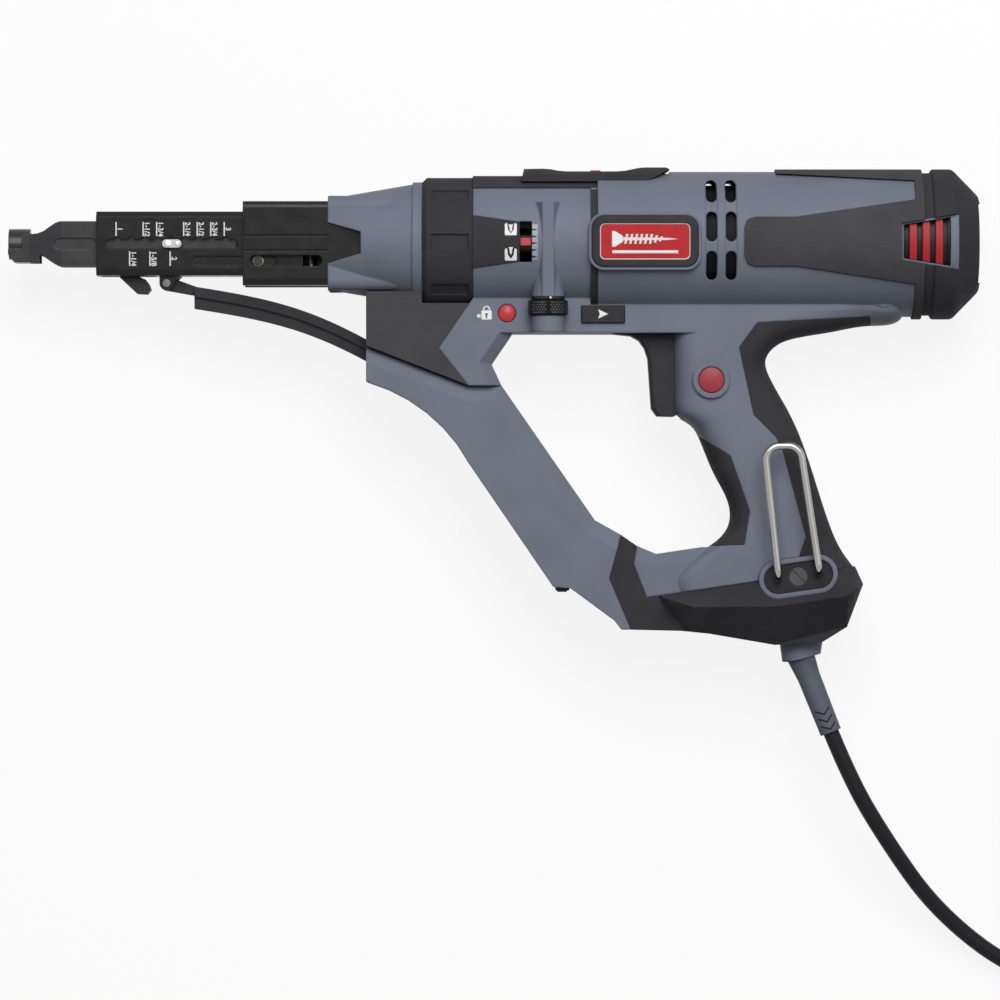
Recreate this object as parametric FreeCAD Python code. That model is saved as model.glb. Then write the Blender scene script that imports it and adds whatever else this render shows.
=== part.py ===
"""Corded drywall screwdriver with an auto-feed nose, built as separate pieces.

Millimetres. The drive line is the X axis with the nose towards -X, +Y runs from the handle
to the top of the barrel and +Z stands out of the tool's near side. The seam between the gear
barrel and the motor barrel is x = 0 until the finished pieces are moved to the part's origin,
which lies under the middle of the tool as it lies on its far side.
"""
import FreeCAD, Part
import math
import os

V = FreeCAD.Vector

# Clearances, walls and the overrun of cutting shapes
FIT = 0.3
SLIDE_FIT = 0.25
OVERRUN = 6.0
SHELL_WALL = 2.8

# Barrel
GEAR_BARREL_LENGTH = 55.0
GEAR_BARREL_RADIUS = 31.8
MOTOR_BARREL_LENGTH = 155.8
MOTOR_BARREL_RADIUS = 34.2
SEAM_WIDTH = 3.3
SEAM_DEPTH = 1.2
RUBBER_PROUD = 1.2
RUBBER_SEAT = 1.4
BADGE_LENGTH = 50.0
BADGE_HEIGHT = 24.3
BADGE_MIDDLE = 25.2
BADGE_CORNER = 6.0
BADGE_EDGE = 1.0
BADGE_RIM = 1.2
BADGE_RIM_DROP = 0.6
LABEL_LENGTH = 42.2
LABEL_HEIGHT = 17.0
LABEL_CORNER = 2.5
LABEL_DEPTH = 1.6
LABEL_DROP = 0.5
VENT_WIDTH = 5.0
VENT_CORNER = 2.47
VENT_FIRST = 56.3
VENT_STEP = 9.1
VENT_ROW_SHARES = ((0.54, 0.86), (0.0, 0.41), (-0.52, -0.13))
VENT_CHANNEL_LIP = 0.3
VENT_CHANNEL_DEPTH = 0.4
VENT_CHANNEL_SHARES = (-0.45, 0.8)
PANEL_SHARES = (
    (0.46, 0.2), (0.469, 0.295), (0.491, 0.336), (0.615, 0.336), (0.99, 0.59),
    (0.99, -0.59), (0.615, -0.336), (0.491, -0.336), (0.469, -0.295), (0.46, -0.2),
)
STRIP_SHARES = ((0.56, 0.96), (0.99, 0.85), (0.99, 1.2), (0.56, 1.2))
REAR_BAND = 4.0

# Rear cap and its side vents
CAP_LENGTH = 27.3
CAP_GROOVE_WIDTH = 4.4
CAP_GROOVE_DEPTH = 1.8
CAP_LIP_ROUND = 1.6
CAP_ROUND = 4.0
CAP_CHAMFER_LENGTH = 12.7
CAP_CHAMFER_DEPTH = 13.0
CAP_RECESS = 1.0
CAP_RECESS_HALF = 18.6
WINDOW_BACK = 10.9
WINDOW_AHEAD = 16.0
WINDOW_FRONT_HALF = 8.6
WINDOW_BACK_HALF = 13.0
BEZEL_LINE = 0.9
BEZEL_BAR = 4.0
BEZEL_DROP = 0.5
BEZEL_DEPTH = 2.4
GRILLE_WALL = 1.2
GRILLE_FIN = 3.4
GRILLE_FIN_STEP = 6.1
GRILLE_FIN_FIRST = 3.8
GRILLE_FIN_HEIGHT = 2.6

# Collar, cone, guide and feed slide, from the gear barrel forwards
COLLAR_LENGTH = 24.1
COLLAR_RADIUS = 31.4
COLLAR_CHAMFER = 2.2
COLLAR_FLATS = 8
COLLAR_FLAT = 1.1
COLLAR_SHOW = 28.2
CONE_LENGTH = 44.1
CONE_FRONT_HALF_HEIGHT = 22.3
CONE_FRONT_HALF_WIDTH = 18.9
CONE_CORNER = 5.0
CONE_FRONT_RADIUS = 21.5
CONE_BACK_RADIUS = 28.3
CONE_RIM_LENGTH = 4.5
CONE_RIM_RADIUS = 29.3
CONE_NOTCH_LENGTH = 15.5
CONE_NOTCH_HALF = 9.6
CONE_NOTCH_END_HALF = 5.1
GUIDE_SHOW = 40.0
GUIDE_HALF_HEIGHT = 19.8
GUIDE_HALF_WIDTH = 17.5
GUIDE_ROUND = 3.0
GUIDE_BACK_GAP = 2.0
GUIDE_LINE_DEPTH = 0.5
GUIDE_LINE_HALF = 3.5
GUIDE_LINE = 0.7
GUIDE_MOUTH_HALF = 9.2
GUIDE_WINDOW_FRONT = 3.2
GUIDE_WINDOW_LENGTH = 34.0
GUIDE_WINDOW_WIDTH = 5.1
STOP_LINE = -8.3
STOP_PLACE = 7.2
STOP_GROOVE_DEPTH = 2.2
STOP_HEAD_RADIUS = 2.0
STOP_HEAD = 1.1
STOP_WASHER_RADIUS = 2.45
STOP_WASHER = 0.7
STOP_SHANK_RADIUS = 1.1
STOP_SHANK = 3.4
PLUNGER_GROOVE_HALF = 2.6
PLUNGER_GROOVE_DEPTH = 2.5
SLIDE_SHOW = 69.1
SLIDE_INSIDE = 28.2
SLIDE_HALF_HEIGHT = 15.05
SLIDE_HALF_WIDTH = 13.0
SLIDE_WALL = 2.6
SLIDE_BEVEL = 2.6
SLIDE_BACK_WALL = 3.0
SLIDE_BACK_BORE = 9.2
INDEX_SLOT_FRONT = 4.5
INDEX_SLOT_LENGTH = 62.0
INDEX_SLOT_WIDTH = 4.3
INDEX_SLOT_MIDDLE = -0.2
INDEX_NOTCH_RADIUS = 1.3
INDEX_NOTCH_STEP = 6.35
INDEX_NOTCHES = 9
LOWER_SLOT_FRONT = 45.0
LOWER_SLOT_LENGTH = 40.0
LOWER_SLOT_WIDTH = 4.5
LOWER_SLOT_DEPTH = 0.9

# Nosepiece, plunger, sprocket, lever and strip guide
PLATE_SHOW = 16.4
PLATE_HALF_HEIGHT = 10.55
PLATE_INNER = 7.4
PLATE_OUTER = 10.1
PLATE_SLOT_LENGTH = 20.0
PLATE_SLOT_WIDTH = 5.6
PLATE_SLOT_DEPTH = 1.3
NECK_LENGTH = 15.3
NECK_HALF_HEIGHT = 4.6
NECK_OUTER = 8.6
NECK_CURVE_SHARES = ((0.0, 0.0), (0.2, 0.05), (0.4, 0.24), (0.6, 0.58), (0.78, 0.86), (0.9, 0.97), (1.0, 1.0))
TIP_LENGTH = 10.0
TIP_RADIUS = 7.3
TIP_WEB = 3.5
TIP_EDGE = 1.2
SHOE_TOP = 2.5
SHOE_DROP = 8.8
SHOE_CHAMFER = 2.9
SHOE_CHAMFER_RISE = 3.9
TIP_BORE_RADIUS = 5.2
FOOT_LENGTH = 4.7
FOOT_DEPTH = 6.0
TONGUE_LENGTH = 66.0
TONGUE_TOP = 8.0
TONGUE_BOTTOM = 6.0
PLUNGER_PLACE = 35.7
PLUNGER_RADIUS = 1.9
PLUNGER_HEAD_LENGTH = 9.0
PLUNGER_HEAD_HEIGHT = 3.9
PLUNGER_HEAD = 1.9
PLUNGER_ROOT = 8.0
PLUNGER_GAP = 0.25
SPROCKET_PLACE = 7.8
SPROCKET_DROP = 7.0
SPROCKET_RADIUS = 6.5
SPROCKET_ROOT = 4.6
SPROCKET_TEETH = 6
SPROCKET_INNER = 3.9
SPROCKET_OUTER = 5.6
SPROCKET_HUB = 2.4
AXLE_RADIUS = 1.6
AXLE_FIT = 0.15
BEARING_FIT = 0.05
CHEEK_INNER = 5.9
CHEEK_OUTER = 7.1
CHEEK_FRONT = 3.3
CHEEK_LENGTH = 24.0
CHEEK_TOP = 3.6
FEED_MOUTH_FRONT = 1.8
FEED_MOUTH_LENGTH = 26.0
FEED_MOUTH_HALF = 5.75
LEVER_PLACE = 22.8
LEVER_DROP = 11.3
LEVER_HALF_WIDTH = 5.4
LEVER_REACH = 12.2
LEVER_HANG = 12.3
LEVER_SHARES = (
    (-1.0, -0.35), (-0.26, 0.15), (0.25, 0.15), (0.25, -0.1), (-0.28, -0.32), (-0.02, -0.43),
    (0.12, -0.62), (0.2, -0.82), (0.06, -1.0), (-0.33, -0.98),
)
LUG_PLACE = 32.9
LUG_DROP = 18.5
LUG_RADIUS = 3.4
LUG_INNER = 4.6
LUG_OUTER = 7.6
LUG_LENGTH = 8.0
RAIL_PIN_RADIUS = 1.9
RAIL_PIN_HALF = 8.2
RAIL_RUN = 110.0
RAIL_FALL = 40.0
RAIL_TOP_SHARES = ((0.118, 0.04), (0.268, 0.108), (0.568, 0.31), (0.852, 0.658), (0.995, 0.888))
RAIL_FLANGE_DEPTH = 4.9
RAIL_FLANGE_HALF = 7.0
RAIL_BAND_DEPTH = 5.4
RAIL_BAND_HALF = 5.6
RAIL_TAB_HALF = 4.2

# Return spring round the drive bit
SPRING_RADIUS = 10.9
SPRING_WIRE = 1.6
SPRING_TURNS = 11
SPRING_GAP = 0.3

# Handle: shares are of its length from the bracket's front and of its drop below the drive line
BRACKET_REACH = 26.2
HANDLE_LENGTH = 236.0
HANDLE_DROP = 188.8
HANDLE_HALF_WIDTH = 18.6
ARM_HALF_WIDTH = 18.4
ARM_WALL = 2.6
ARM_BEVEL = 6.6
ARM_BEVEL_DEPTH = 4.2
ARM_TOP_SHARES = ((0.0, 0.255), (0.204, 0.354), (0.269, 0.354), (0.455, 0.689), (0.507, 0.7255))
ARM_END_SHARES = (
    (0.483, 0.834), (0.526, 0.961), (0.508, 0.961), (0.494, 0.939), (0.406, 0.858), (0.372, 0.855),
)
ARM_BOW_SHARES = ((0.204, 0.548), (0.122, 0.424), (0.0, 0.344))
ARM_BOW_STEPS = 6
BRACKET_SHARES = ((0.0, 0.12), (0.214, 0.12), (0.214, 0.135), (0.145, 0.261), (0.204, 0.354), (0.0, 0.255))
BRIDGE_SHARES = (
    (0.214, 0.08), (0.214, 0.135), (0.145, 0.261), (0.204, 0.354), (0.269, 0.354),
    (0.249, 0.3), (0.291, 0.223), (0.7, 0.223), (0.7, 0.08),
)
BRIDGE_BEVEL = 5.0
BRIDGE_BEVEL_DEPTH = 4.0
GRIP_HALF_WIDTH = 18.6
GRIP_ROUND = 13.0
GRIP_POWER = 2.5
GRIP_STEPS = 5
GRIP_SPINE_SHARES = (
    (1.0, 0.085), (0.82, 0.095), (0.735, 0.17), (0.717, 0.29), (0.745, 0.42), (0.805, 0.6), (0.83, 0.74),
    (0.84, 0.85),
)
GRIP_SHARES = (
    (0.62, 0.12), (0.611, 0.2), (0.61, 0.289), (0.611, 0.38), (0.618, 0.428), (0.646, 0.452), (0.666, 0.491),
    (0.696, 0.579), (0.724, 0.655), (0.722, 0.704), (0.698, 0.742), (0.66, 0.772), (0.62, 0.805), (0.6, 0.84),
    (0.62, 0.89), (0.68, 0.92), (0.76, 0.93), (0.85, 0.935), (0.94, 0.91), (0.984, 0.84),
    (0.956, 0.779), (0.926, 0.704), (0.882, 0.536),
    (0.844, 0.421), (0.806, 0.335), (0.797, 0.29), (0.816, 0.256), (0.862, 0.2335), (0.93, 0.219),
    (1.004, 0.204), (1.066, 0.188), (1.075, 0.13), (1.03, 0.04), (0.95, 0.005), (0.83, 0.0), (0.71, 0.0),
    (0.64, 0.03),
)
CROSS_HALF_WIDTH = 16.0
CROSS_BEVEL = 5.0
CROSS_BEVEL_DEPTH = 4.0
CROSS_SHARES = (
    (0.538, 0.7525), (0.579, 0.774), (0.67, 0.757), (0.752, 0.757), (0.84, 0.8), (0.776, 0.86),
    (0.62, 0.9), (0.558, 0.9), (0.532, 0.796),
)
BACK_SHARES = (
    (0.7775, 0.1975), (0.741, 0.259), (0.77, 0.427), (0.813, 0.481), (0.826, 0.509), (0.874, 0.731),
    (0.862, 0.771), (0.85, 0.87), (1.1, 0.87), (1.1, 0.4), (1.009, 0.22), (1.002, 0.1815),
)
PAD_SHARES = (
    (0.663, 0.481), (0.724, 0.5275), (0.763, 0.666), (0.752, 0.75), (0.674, 0.754), (0.6, 0.754),
    (0.6, 0.481),
)
BASE_HALF_WIDTH = 17.5
BASE_RIDGE_HALF = 35.2
BASE_SHARES = (
    (0.507, 0.7255), (0.538, 0.7525), (0.532, 0.796), (0.558, 0.88), (0.62, 0.8688), (0.776, 0.8401),
    (0.972, 0.804), (0.988, 0.8475), (0.956, 0.954), (0.908, 0.991), (0.813, 0.999), (0.682, 0.971),
    (0.626, 0.964), (0.526, 0.961), (0.483, 0.834),
)
FOOT_SHARES = (
    (0.581, 0.876), (0.972, 0.804), (0.988, 0.8475), (0.956, 0.954), (0.813, 0.999), (0.632, 0.96),
)
RIDGE_SHARES = ((0.61, 0.889), (0.962, 0.846), (0.975, 0.858), (0.954, 0.876), (0.81, 0.902), (0.65, 0.904))
BASE_WALL = 4.0
BASE_HOLLOW_SHARES = ((0.56, 0.9), (0.78, 0.87), (0.78, 0.95), (0.56, 0.935))

# Controls
TRIGGER_HALF_WIDTH = 8.4
TRIGGER_SHARES = (
    (0.49, 0.2245), (0.526, 0.229), (0.543, 0.241), (0.554, 0.26), (0.561, 0.286), (0.568, 0.411),
    (0.579, 0.43),
    (0.612, 0.431), (0.63, 0.42), (0.63, 0.2245),
)
TRIGGER_ROUND_SHARE = (0.612, 0.228)
TRIGGER_POCKET_SHARES = ((0.47, 0.436), (0.669, 0.436), (0.669, 0.2235), (0.47, 0.2235))
TRIGGER_STEM_HALF = 4.0
TRIGGER_STEM_SHARES = ((0.62, 0.27), (0.687, 0.27), (0.687, 0.31), (0.62, 0.31))
SWITCH_SHARES = ((0.715, 0.27), (0.757, 0.27), (0.757, 0.425), (0.715, 0.425))
SWITCH_HALF_WIDTH = 9.5
SWITCH_SEAT_RADIUS = 3.0
SWITCH_SEAT_SHARE = (0.736, 0.35)
LOCK_SHARE = (0.686, 0.3405)
LOCK_RADIUS = 5.9
LOCK_RING_RADIUS = 8.7
LOCK_RING_RISE = 1.6
LOCK_RISE = 1.2
LOCK_DOME = 0.9
LOCK_DEPTH = 11.5
LOCK_GUIDE = 8.4
RELEASE_PLACE = 39.2
RELEASE_DROP = 33.0
RELEASE_RADIUS = 4.0
RELEASE_DOME = 1.2
RELEASE_RISE = 1.4
RELEASE_DEPTH = 7.0
SLIDER_FRONT = -4.1
SLIDER_LENGTH = 19.9
SLIDER_TOP = 29.8
SLIDER_HEIGHT = 7.6
SLIDER_RISE = 1.6
WHEEL_PLACE = 20.0
WHEEL_OUT = 24.5
WHEEL_RADIUS = 9.25
WHEEL_TOP = 27.2
WHEEL_HEIGHT = 6.9
WHEEL_GROOVES = 6
WHEEL_GROOVE = 0.7
DEPTH_SCREW_RADIUS = 2.0
DEPTH_SCREW_TOP = 14.0
DEPTH_SCREW_FOOT = 4.0
BOSS_RADIUS = 7.8
BOSS_TOP_RADIUS = 4.2
BOSS_HEIGHT = 25.0
BOSS_GAP = 0.4
RIB_FACE_HALF = 2.65
RIB_TOP = 18.6
RIB_RISE = 0.2
RIB_DEPTH = 10.0
RIB_DRAFT = 5.0
DIAL_WINDOW_FRONT = 33.2
DIAL_WINDOW_LENGTH = 5.6
DIAL_WINDOW_HALF = 9.5
DIAL_DEPTH = 24.0
DIAL_MARK_HALF = 1.75
DIAL_MARK_DROP = 0.9
DIAL_ARM = 2.6
DIAL_NUT_RADIUS = 3.4
DIAL_NUT_HALF = 3.0

# Overmould on the gear barrel, and the saddle on top
WEDGE_LENGTH = 21.8
WEDGE_HALF = 12.4
WEDGE_END_HALF = 9.2
STRIP_BOTTOM = 25.7
GEAR_RUBBER_PROUD = 0.5
SADDLE_FRONT = 32.6
SADDLE_LENGTH = 69.9
SADDLE_HALF_WIDTH = 17.5
SADDLE_RADIUS = 36.5
SADDLE_HEIGHT = 36.1
SADDLE_DIP_SHARE = 0.936
SADDLE_SHARES = (
    (0.0, 0.8), (0.02, 0.972), (0.15, 0.978), (0.2, 0.969), (0.245, 0.948), (0.3, SADDLE_DIP_SHARE),
    (0.64, SADDLE_DIP_SHARE), (0.7, 0.945), (0.755, 0.972), (0.8, 0.993), (0.84, 1.0), (0.975, 1.0),
    (1.0, 0.97), (0.85, 0.8),
)
SADDLE_DEPTH = 2.0
INLAY_LENGTH = 4.8
INLAY_HALF_WIDTH = 8.0
INLAY_RISE = 0.8
INLAY_DEPTH = 1.0

# Gears and gearbox
MODULE = 0.75
PRESSURE_ANGLE = 25.0
ADDENDUM_SHARE = 0.8
DEDENDUM_SHARE = 1.05
BACKLASH = 0.12
MOTOR_TEETH = 10
LAY_GEAR_TEETH = 30
LAY_PINION_TEETH = 12
SPINDLE_TEETH = 28
FLANK_STEPS = 4
FIRST_MESH = -14.0
SECOND_MESH = -37.0
GEAR_WIDTH = 8.0
PINION_OVERLAP = 1.5
LAYSHAFT_RADIUS = 3.0
SPINDLE_RADIUS = 5.0
SPINDLE_FRONT = -64.0
SPINDLE_BACK = -22.5
HOLDER_LENGTH = 30.0
HOLDER_RADIUS = 8.0
HOLDER_GRIP = 9.0
BIT_RADIUS = 3.1
BIT_TIP = -219.5
BIT_POINT = 5.0
BIT_POINT_RADIUS = 1.6
BIT_GAP = 0.2
CASE_FLANGE = 4.5
CASE_WALL = 2.2
CASE_LOWER_RADIUS = 16.0
CASE_UPPER_RADIUS = 14.4
PLATE_THICKNESS = 4.0
BEARING_WIDTH = 7.0
SPINDLE_BEARING_RADIUS = 11.0
MOTOR_BEARING_RADIUS = 9.0
WEB_THICKNESS = 3.0
WEB_RADIUS = 11.5

# Motor
SHAFT_RADIUS = 4.0
SHAFT_BACK = 136.0
FAN_FRONT = 20.0
FAN_LENGTH = 11.0
FAN_DISC = 2.0
FAN_RADIUS = 27.0
FAN_BLADES = 12
FAN_BLADE = 1.6
FIELD_FRONT = 42.0
FIELD_LENGTH = 48.0
FIELD_BORE = 16.6
FIELD_HALF_HEIGHT = 27.0
ARMATURE_RADIUS = 15.9
ARMATURE_SLOTS = 12
ARMATURE_SLOT = 1.6
ARMATURE_SLOT_DEPTH = 3.0
COMMUTATOR_FRONT = 100.0
COMMUTATOR_LENGTH = 14.0
COMMUTATOR_RADIUS = 10.5
BRUSH_LENGTH = 8.0
BRUSH_HALF_HEIGHT = 3.0
BRUSH_OUT = 22.0
HOLDER_WALL = 1.6
REAR_BEARING = 126.0

# Fastenings and hook
SCREW_SHARES = ((0.206, 0.264), (0.79, 0.452), (0.812, 0.7), (0.626, 0.828))
SCREW_RADIUS = 1.7
SCREW_HEAD_RADIUS = 3.3
SCREW_HEAD = 2.4
SCREW_BOSS_RADIUS = 4.6
SCREW_END = 8.0
SCREW_SEAT = 11.0
HOOK_SHARE = (0.858, 0.829)
HOOK_TILT = 8.0
HOOK_PLATE_LENGTH = 37.0
HOOK_PLATE_WIDTH = 18.0
HOOK_FLAT = 0.1
HOOK_BEZEL = 2.2
HOOK_FLOOR = 12.0
HOOK_BEZEL_TOP = 25.0
HOOK_BEZEL_FLOOR = 3.0
HOOK_PLATE_TOP = 23.4
HOOK_WIRE = 3.5
HOOK_SPREAD = 19.2
HOOK_STAND = 31.5
HOOK_RUN_SHARES = ((0.789, 0.506), (0.859, 0.504))
HOOK_BEND = 5.0
HOOK_TOP_BEND = 6.5
HOOK_SCREW_RADIUS = 2.1
HOOK_SCREW_HEAD_RADIUS = 4.4
HOOK_SCREW_HEAD = 1.6
HOOK_SCREW_END = 2.0
HOOK_SCREW_SLOT = 1.0
SOCKET_DEPTH = 10.0

# Cord: strain relief, free cord, coil of spare cord with its tie, and plug
RELIEF_SHARE = (0.868, 0.985)
RELIEF_RADIUS = 10.2
RELIEF_END_RADIUS = 8.8
RELIEF_HEIGHT = 9.8
RELIEF_MIDDLE = 8.2
RELIEF_TILT = 14.0
BOOT_SHARE = (0.8533, 0.985)
BOOT_ROOT_DEPTH = 2.45
BOOT_LENGTH = 45.0
BOOT_RADIUS = 7.4
BOOT_FLARE = 17.0
BOOT_WAIST_RADIUS = 5.45
BOOT_TIP_RADIUS = 5.1
BOOT_LEAN = 21.7
BOOT_SOCKET = 8.0
CORD_RADIUS = 3.75
CORD_GAP = 0.3
CORD_POINTS = (
    (121.9, -250.8, 0.0), (139.8, -281.0, -8.0), (165.0, -316.0, -23.0), (202.0, -345.0, -31.1),
    (251.0, -360.6, -31.1),
)
COIL_CENTRE = (290.0, -301.0)
COIL_RADIUS = 59.6
COIL_PITCH = 8.3
COIL_RISE = 8.3
COIL_RAISE = 0.9
COIL_TURNS = 3.5
COIL_LEAD = 10.0
PLUG_LEAD = 24.0
TIE_WIDTH = 12.0
TIE_THICKNESS = 0.8
TIE_GAP = 0.3
PLUG_LENGTH = 34.0
PLUG_HALF_WIDTH = 12.9
PLUG_HALF_HEIGHT = 8.0
PLUG_NECK = 14.0
PLUG_NECK_RADIUS = 6.0
PLUG_CORNER = 3.0
BLADE_LENGTH = 17.0
BLADE_WIDTH = 6.4
BLADE_THICKNESS = 1.5
BLADE_SPREAD = 12.7
BLADE_ROOT = 5.0

# Stations along the drive line
HALF_WIDTH = MOTOR_BARREL_RADIUS + RUBBER_PROUD
SPREAD = HALF_WIDTH + OVERRUN
X_GEAR = -GEAR_BARREL_LENGTH
X_COLLAR = X_GEAR - COLLAR_LENGTH
X_CONE = X_COLLAR - CONE_LENGTH
X_GUIDE = X_CONE - GUIDE_SHOW
X_SLIDE = X_GUIDE - SLIDE_SHOW
X_SLIDE_BACK = X_GUIDE + SLIDE_INSIDE
X_GUIDE_BACK = X_GEAR - GUIDE_BACK_GAP
X_REAR = MOTOR_BARREL_LENGTH
X_HANDLE = X_COLLAR - BRACKET_REACH
GEAR_BORE = GEAR_BARREL_RADIUS - SHELL_WALL
MOTOR_BORE = MOTOR_BARREL_RADIUS - SHELL_WALL
GEAR_CENTRES = MODULE * (MOTOR_TEETH + LAY_GEAR_TEETH) / 2


# Small shape helpers
def box(x0, x1, y0, y1, z0, z1):
    return Part.makeBox(x1 - x0, y1 - y0, z1 - z0, V(x0, y0, z0))


def rod(radius, x0, x1, y=0, z=0):
    return Part.makeCylinder(radius, x1 - x0, V(x0, y, z), V(1, 0, 0))


def post(radius, y0, y1, x, z):
    return Part.makeCylinder(radius, y1 - y0, V(x, y0, z), V(0, 1, 0))


def pin(radius, z0, z1, x, y):
    return Part.makeCylinder(radius, z1 - z0, V(x, y, z0), V(0, 0, 1))


def pipe(outer, inner, x0, x1):
    return rod(outer, x0, x1).cut(rod(inner, x0 - OVERRUN, x1 + OVERRUN))


def fuse(shapes):
    return shapes[0].multiFuse(shapes[1:]) if len(shapes) > 1 else shapes[0]


def cut(shape, *tools):
    for tool in tools:
        shape = shape.cut(tool)
    return shape


def mirrored(shape):
    """The same shape on the far side of the tool."""
    return shape.mirror(V(0, 0, 0), V(0, 0, 1))


def both(shape):
    return [shape, mirrored(shape)]


def polygon(points, z=0):
    corners = [V(x, y, z) for x, y in points]
    return Part.makePolygon(corners + corners[:1])


def prism(points, z0, z1):
    return Part.Face(polygon(points, z0)).extrude(V(0, 0, z1 - z0))


def cross_prism(points, y0, y1):
    """A prism across the drive line from an outline of x and z."""
    corners = [V(x, y0, z) for x, z in points]
    return Part.Face(Part.makePolygon(corners + corners[:1])).extrude(V(0, y1 - y0, 0))


def slab(points):
    """A prism that runs past both sides of the tool."""
    return prism(points, -SPREAD, SPREAD)


def at(share):
    """A handle point from its shares."""
    return (X_HANDLE + share[0] * HANDLE_LENGTH, -share[1] * HANDLE_DROP)


def handle(shares):
    return [at(share) for share in shares]


def barrel(shares):
    return [(x * MOTOR_BARREL_LENGTH, y * MOTOR_BARREL_RADIUS) for x, y in shares]


def shifted(points, distances):
    """The outline with every edge moved inwards by its own distance; edge i starts at point i."""
    area = sum(a[0] * b[1] - b[0] * a[1] for a, b in zip(points, points[1:] + points[:1]))
    side = 1 if area > 0 else -1
    lines = []
    for a, b, distance in zip(points, points[1:] + points[:1], distances):
        length = math.hypot(b[0] - a[0], b[1] - a[1])
        normal = (-side * (b[1] - a[1]) / length, side * (b[0] - a[0]) / length)
        lines.append((normal, a[0] * normal[0] + a[1] * normal[1] + distance))
    moved = []
    for (n0, c0), (n1, c1) in zip(lines[-1:] + lines[:-1], lines):
        cross = n0[0] * n1[1] - n0[1] * n1[0]
        moved.append(((c0 * n1[1] - c1 * n0[1]) / cross, (c1 * n0[0] - c0 * n1[0]) / cross))
    return moved


def bevelled(points, half_width, bevel, depth, edges):
    """A prism whose named edges slope in on both faces."""
    face = shifted(points, [bevel if i in edges else 0 for i in range(len(points))])
    flat = half_width - depth
    slope = Part.makeLoft([polygon(points, flat), polygon(face, half_width)], True, True)
    return fuse([prism(points, -flat, flat)] + both(slope))


def arc_points(start, middle, end, steps):
    """Points along the arc after its start."""
    edge = Part.Arc(V(*start, 0), V(*middle, 0), V(*end, 0)).toShape()
    return [(p.x, p.y) for p in edge.discretize(steps + 1)[1:]]


def smooth(points, z=0):
    """A smooth closed wire through the points."""
    curve = Part.BSplineCurve()
    curve.interpolate([V(x, y, z) for x, y in points], PeriodicFlag=True)
    return Part.Wire(curve.toShape())


def nearest(p, line):
    """The point of an open line of straight runs that lies nearest to p."""
    best = None
    for a, b in zip(line, line[1:]):
        run = (b[0] - a[0], b[1] - a[1])
        along = ((p[0] - a[0]) * run[0] + (p[1] - a[1]) * run[1]) / (run[0] ** 2 + run[1] ** 2)
        along = min(1, max(0, along))
        q = (a[0] + along * run[0], a[1] + along * run[1])
        if best is None or math.dist(p, q) < math.dist(p, best):
            best = q
    return best


def inwards(points, spine, distance):
    """The outline's points, each moved towards the spine."""
    moved = []
    for p in points:
        q = nearest(p, spine)
        share = distance / math.dist(p, q)
        moved.append((p[0] + share * (q[0] - p[0]), p[1] + share * (q[1] - p[1])))
    return moved


def grip_form(inset):
    """The hand grip as a stack of outlines that draw in towards both faces."""
    outline = handle(GRIP_SHARES)
    spine = handle(GRIP_SPINE_SHARES)
    half = GRIP_HALF_WIDTH - inset
    wires = []
    for step in range(-GRIP_STEPS, GRIP_STEPS + 1):
        angle = math.pi / 2 * abs(step) / GRIP_STEPS
        level = math.copysign(math.sin(angle) ** (2 / GRIP_POWER), step)
        drawn = 1 - max(0, math.cos(angle)) ** (2 / GRIP_POWER)
        wires.append(smooth(inwards(outline, spine, inset + GRIP_ROUND * drawn), level * half))
    return Part.makeLoft(wires, True, False)


def rounded_face(x, y, length, height, corner, z, tilt=0):
    """A flat rectangle with round corners."""
    right, top = length / 2, height / 2
    inner_x, inner_y = right - corner, top - corner
    lean = corner * math.sqrt(0.5)
    edges = []
    if inner_x > 0:
        edges.append(Part.makeLine(V(-inner_x, -top, 0), V(inner_x, -top, 0)))
    corners = (
        (inner_x, -inner_y, 0), (inner_x, inner_y, 90), (-inner_x, inner_y, 180), (-inner_x, -inner_y, 270),
    )
    for i, (cx, cy, start) in enumerate(corners):
        a, m, b = (math.radians(start + step) for step in (-90, -45, 0))
        ends = [V(cx + corner * math.cos(t), cy + corner * math.sin(t), 0) for t in (a, m, b)]
        edges.append(Part.Arc(*ends).toShape())
        nxt = corners[(i + 1) % len(corners)]
        start_next = V(
            nxt[0] + corner * math.cos(b), nxt[1] + corner * math.sin(b), 0
        )
        if i < len(corners) - 1 and (start_next - ends[2]).Length > lean / 100:
            edges.append(Part.makeLine(ends[2], start_next))
    face = Part.Face(Part.Wire(Part.__sortEdges__(edges)))
    face.rotate(V(0, 0, 0), V(0, 0, 1), tilt)
    face.translate(V(x, y, z))
    return face


def rounded_block(x, y, length, height, corner, z0, z1, tilt=0):
    return rounded_face(x, y, length, height, corner, z0, tilt).extrude(V(0, 0, z1 - z0))


def section_bar(half_height, half_width, corner, x0, x1):
    """A bar along the drive line with a rounded rectangular section."""
    bar = rounded_block(0, 0, 2 * half_width, 2 * half_height, corner, 0, x1 - x0)
    bar.rotate(V(0, 0, 0), V(0, 1, 0), 90)
    bar.translate(V(x0, 0, 0))
    return bar


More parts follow.
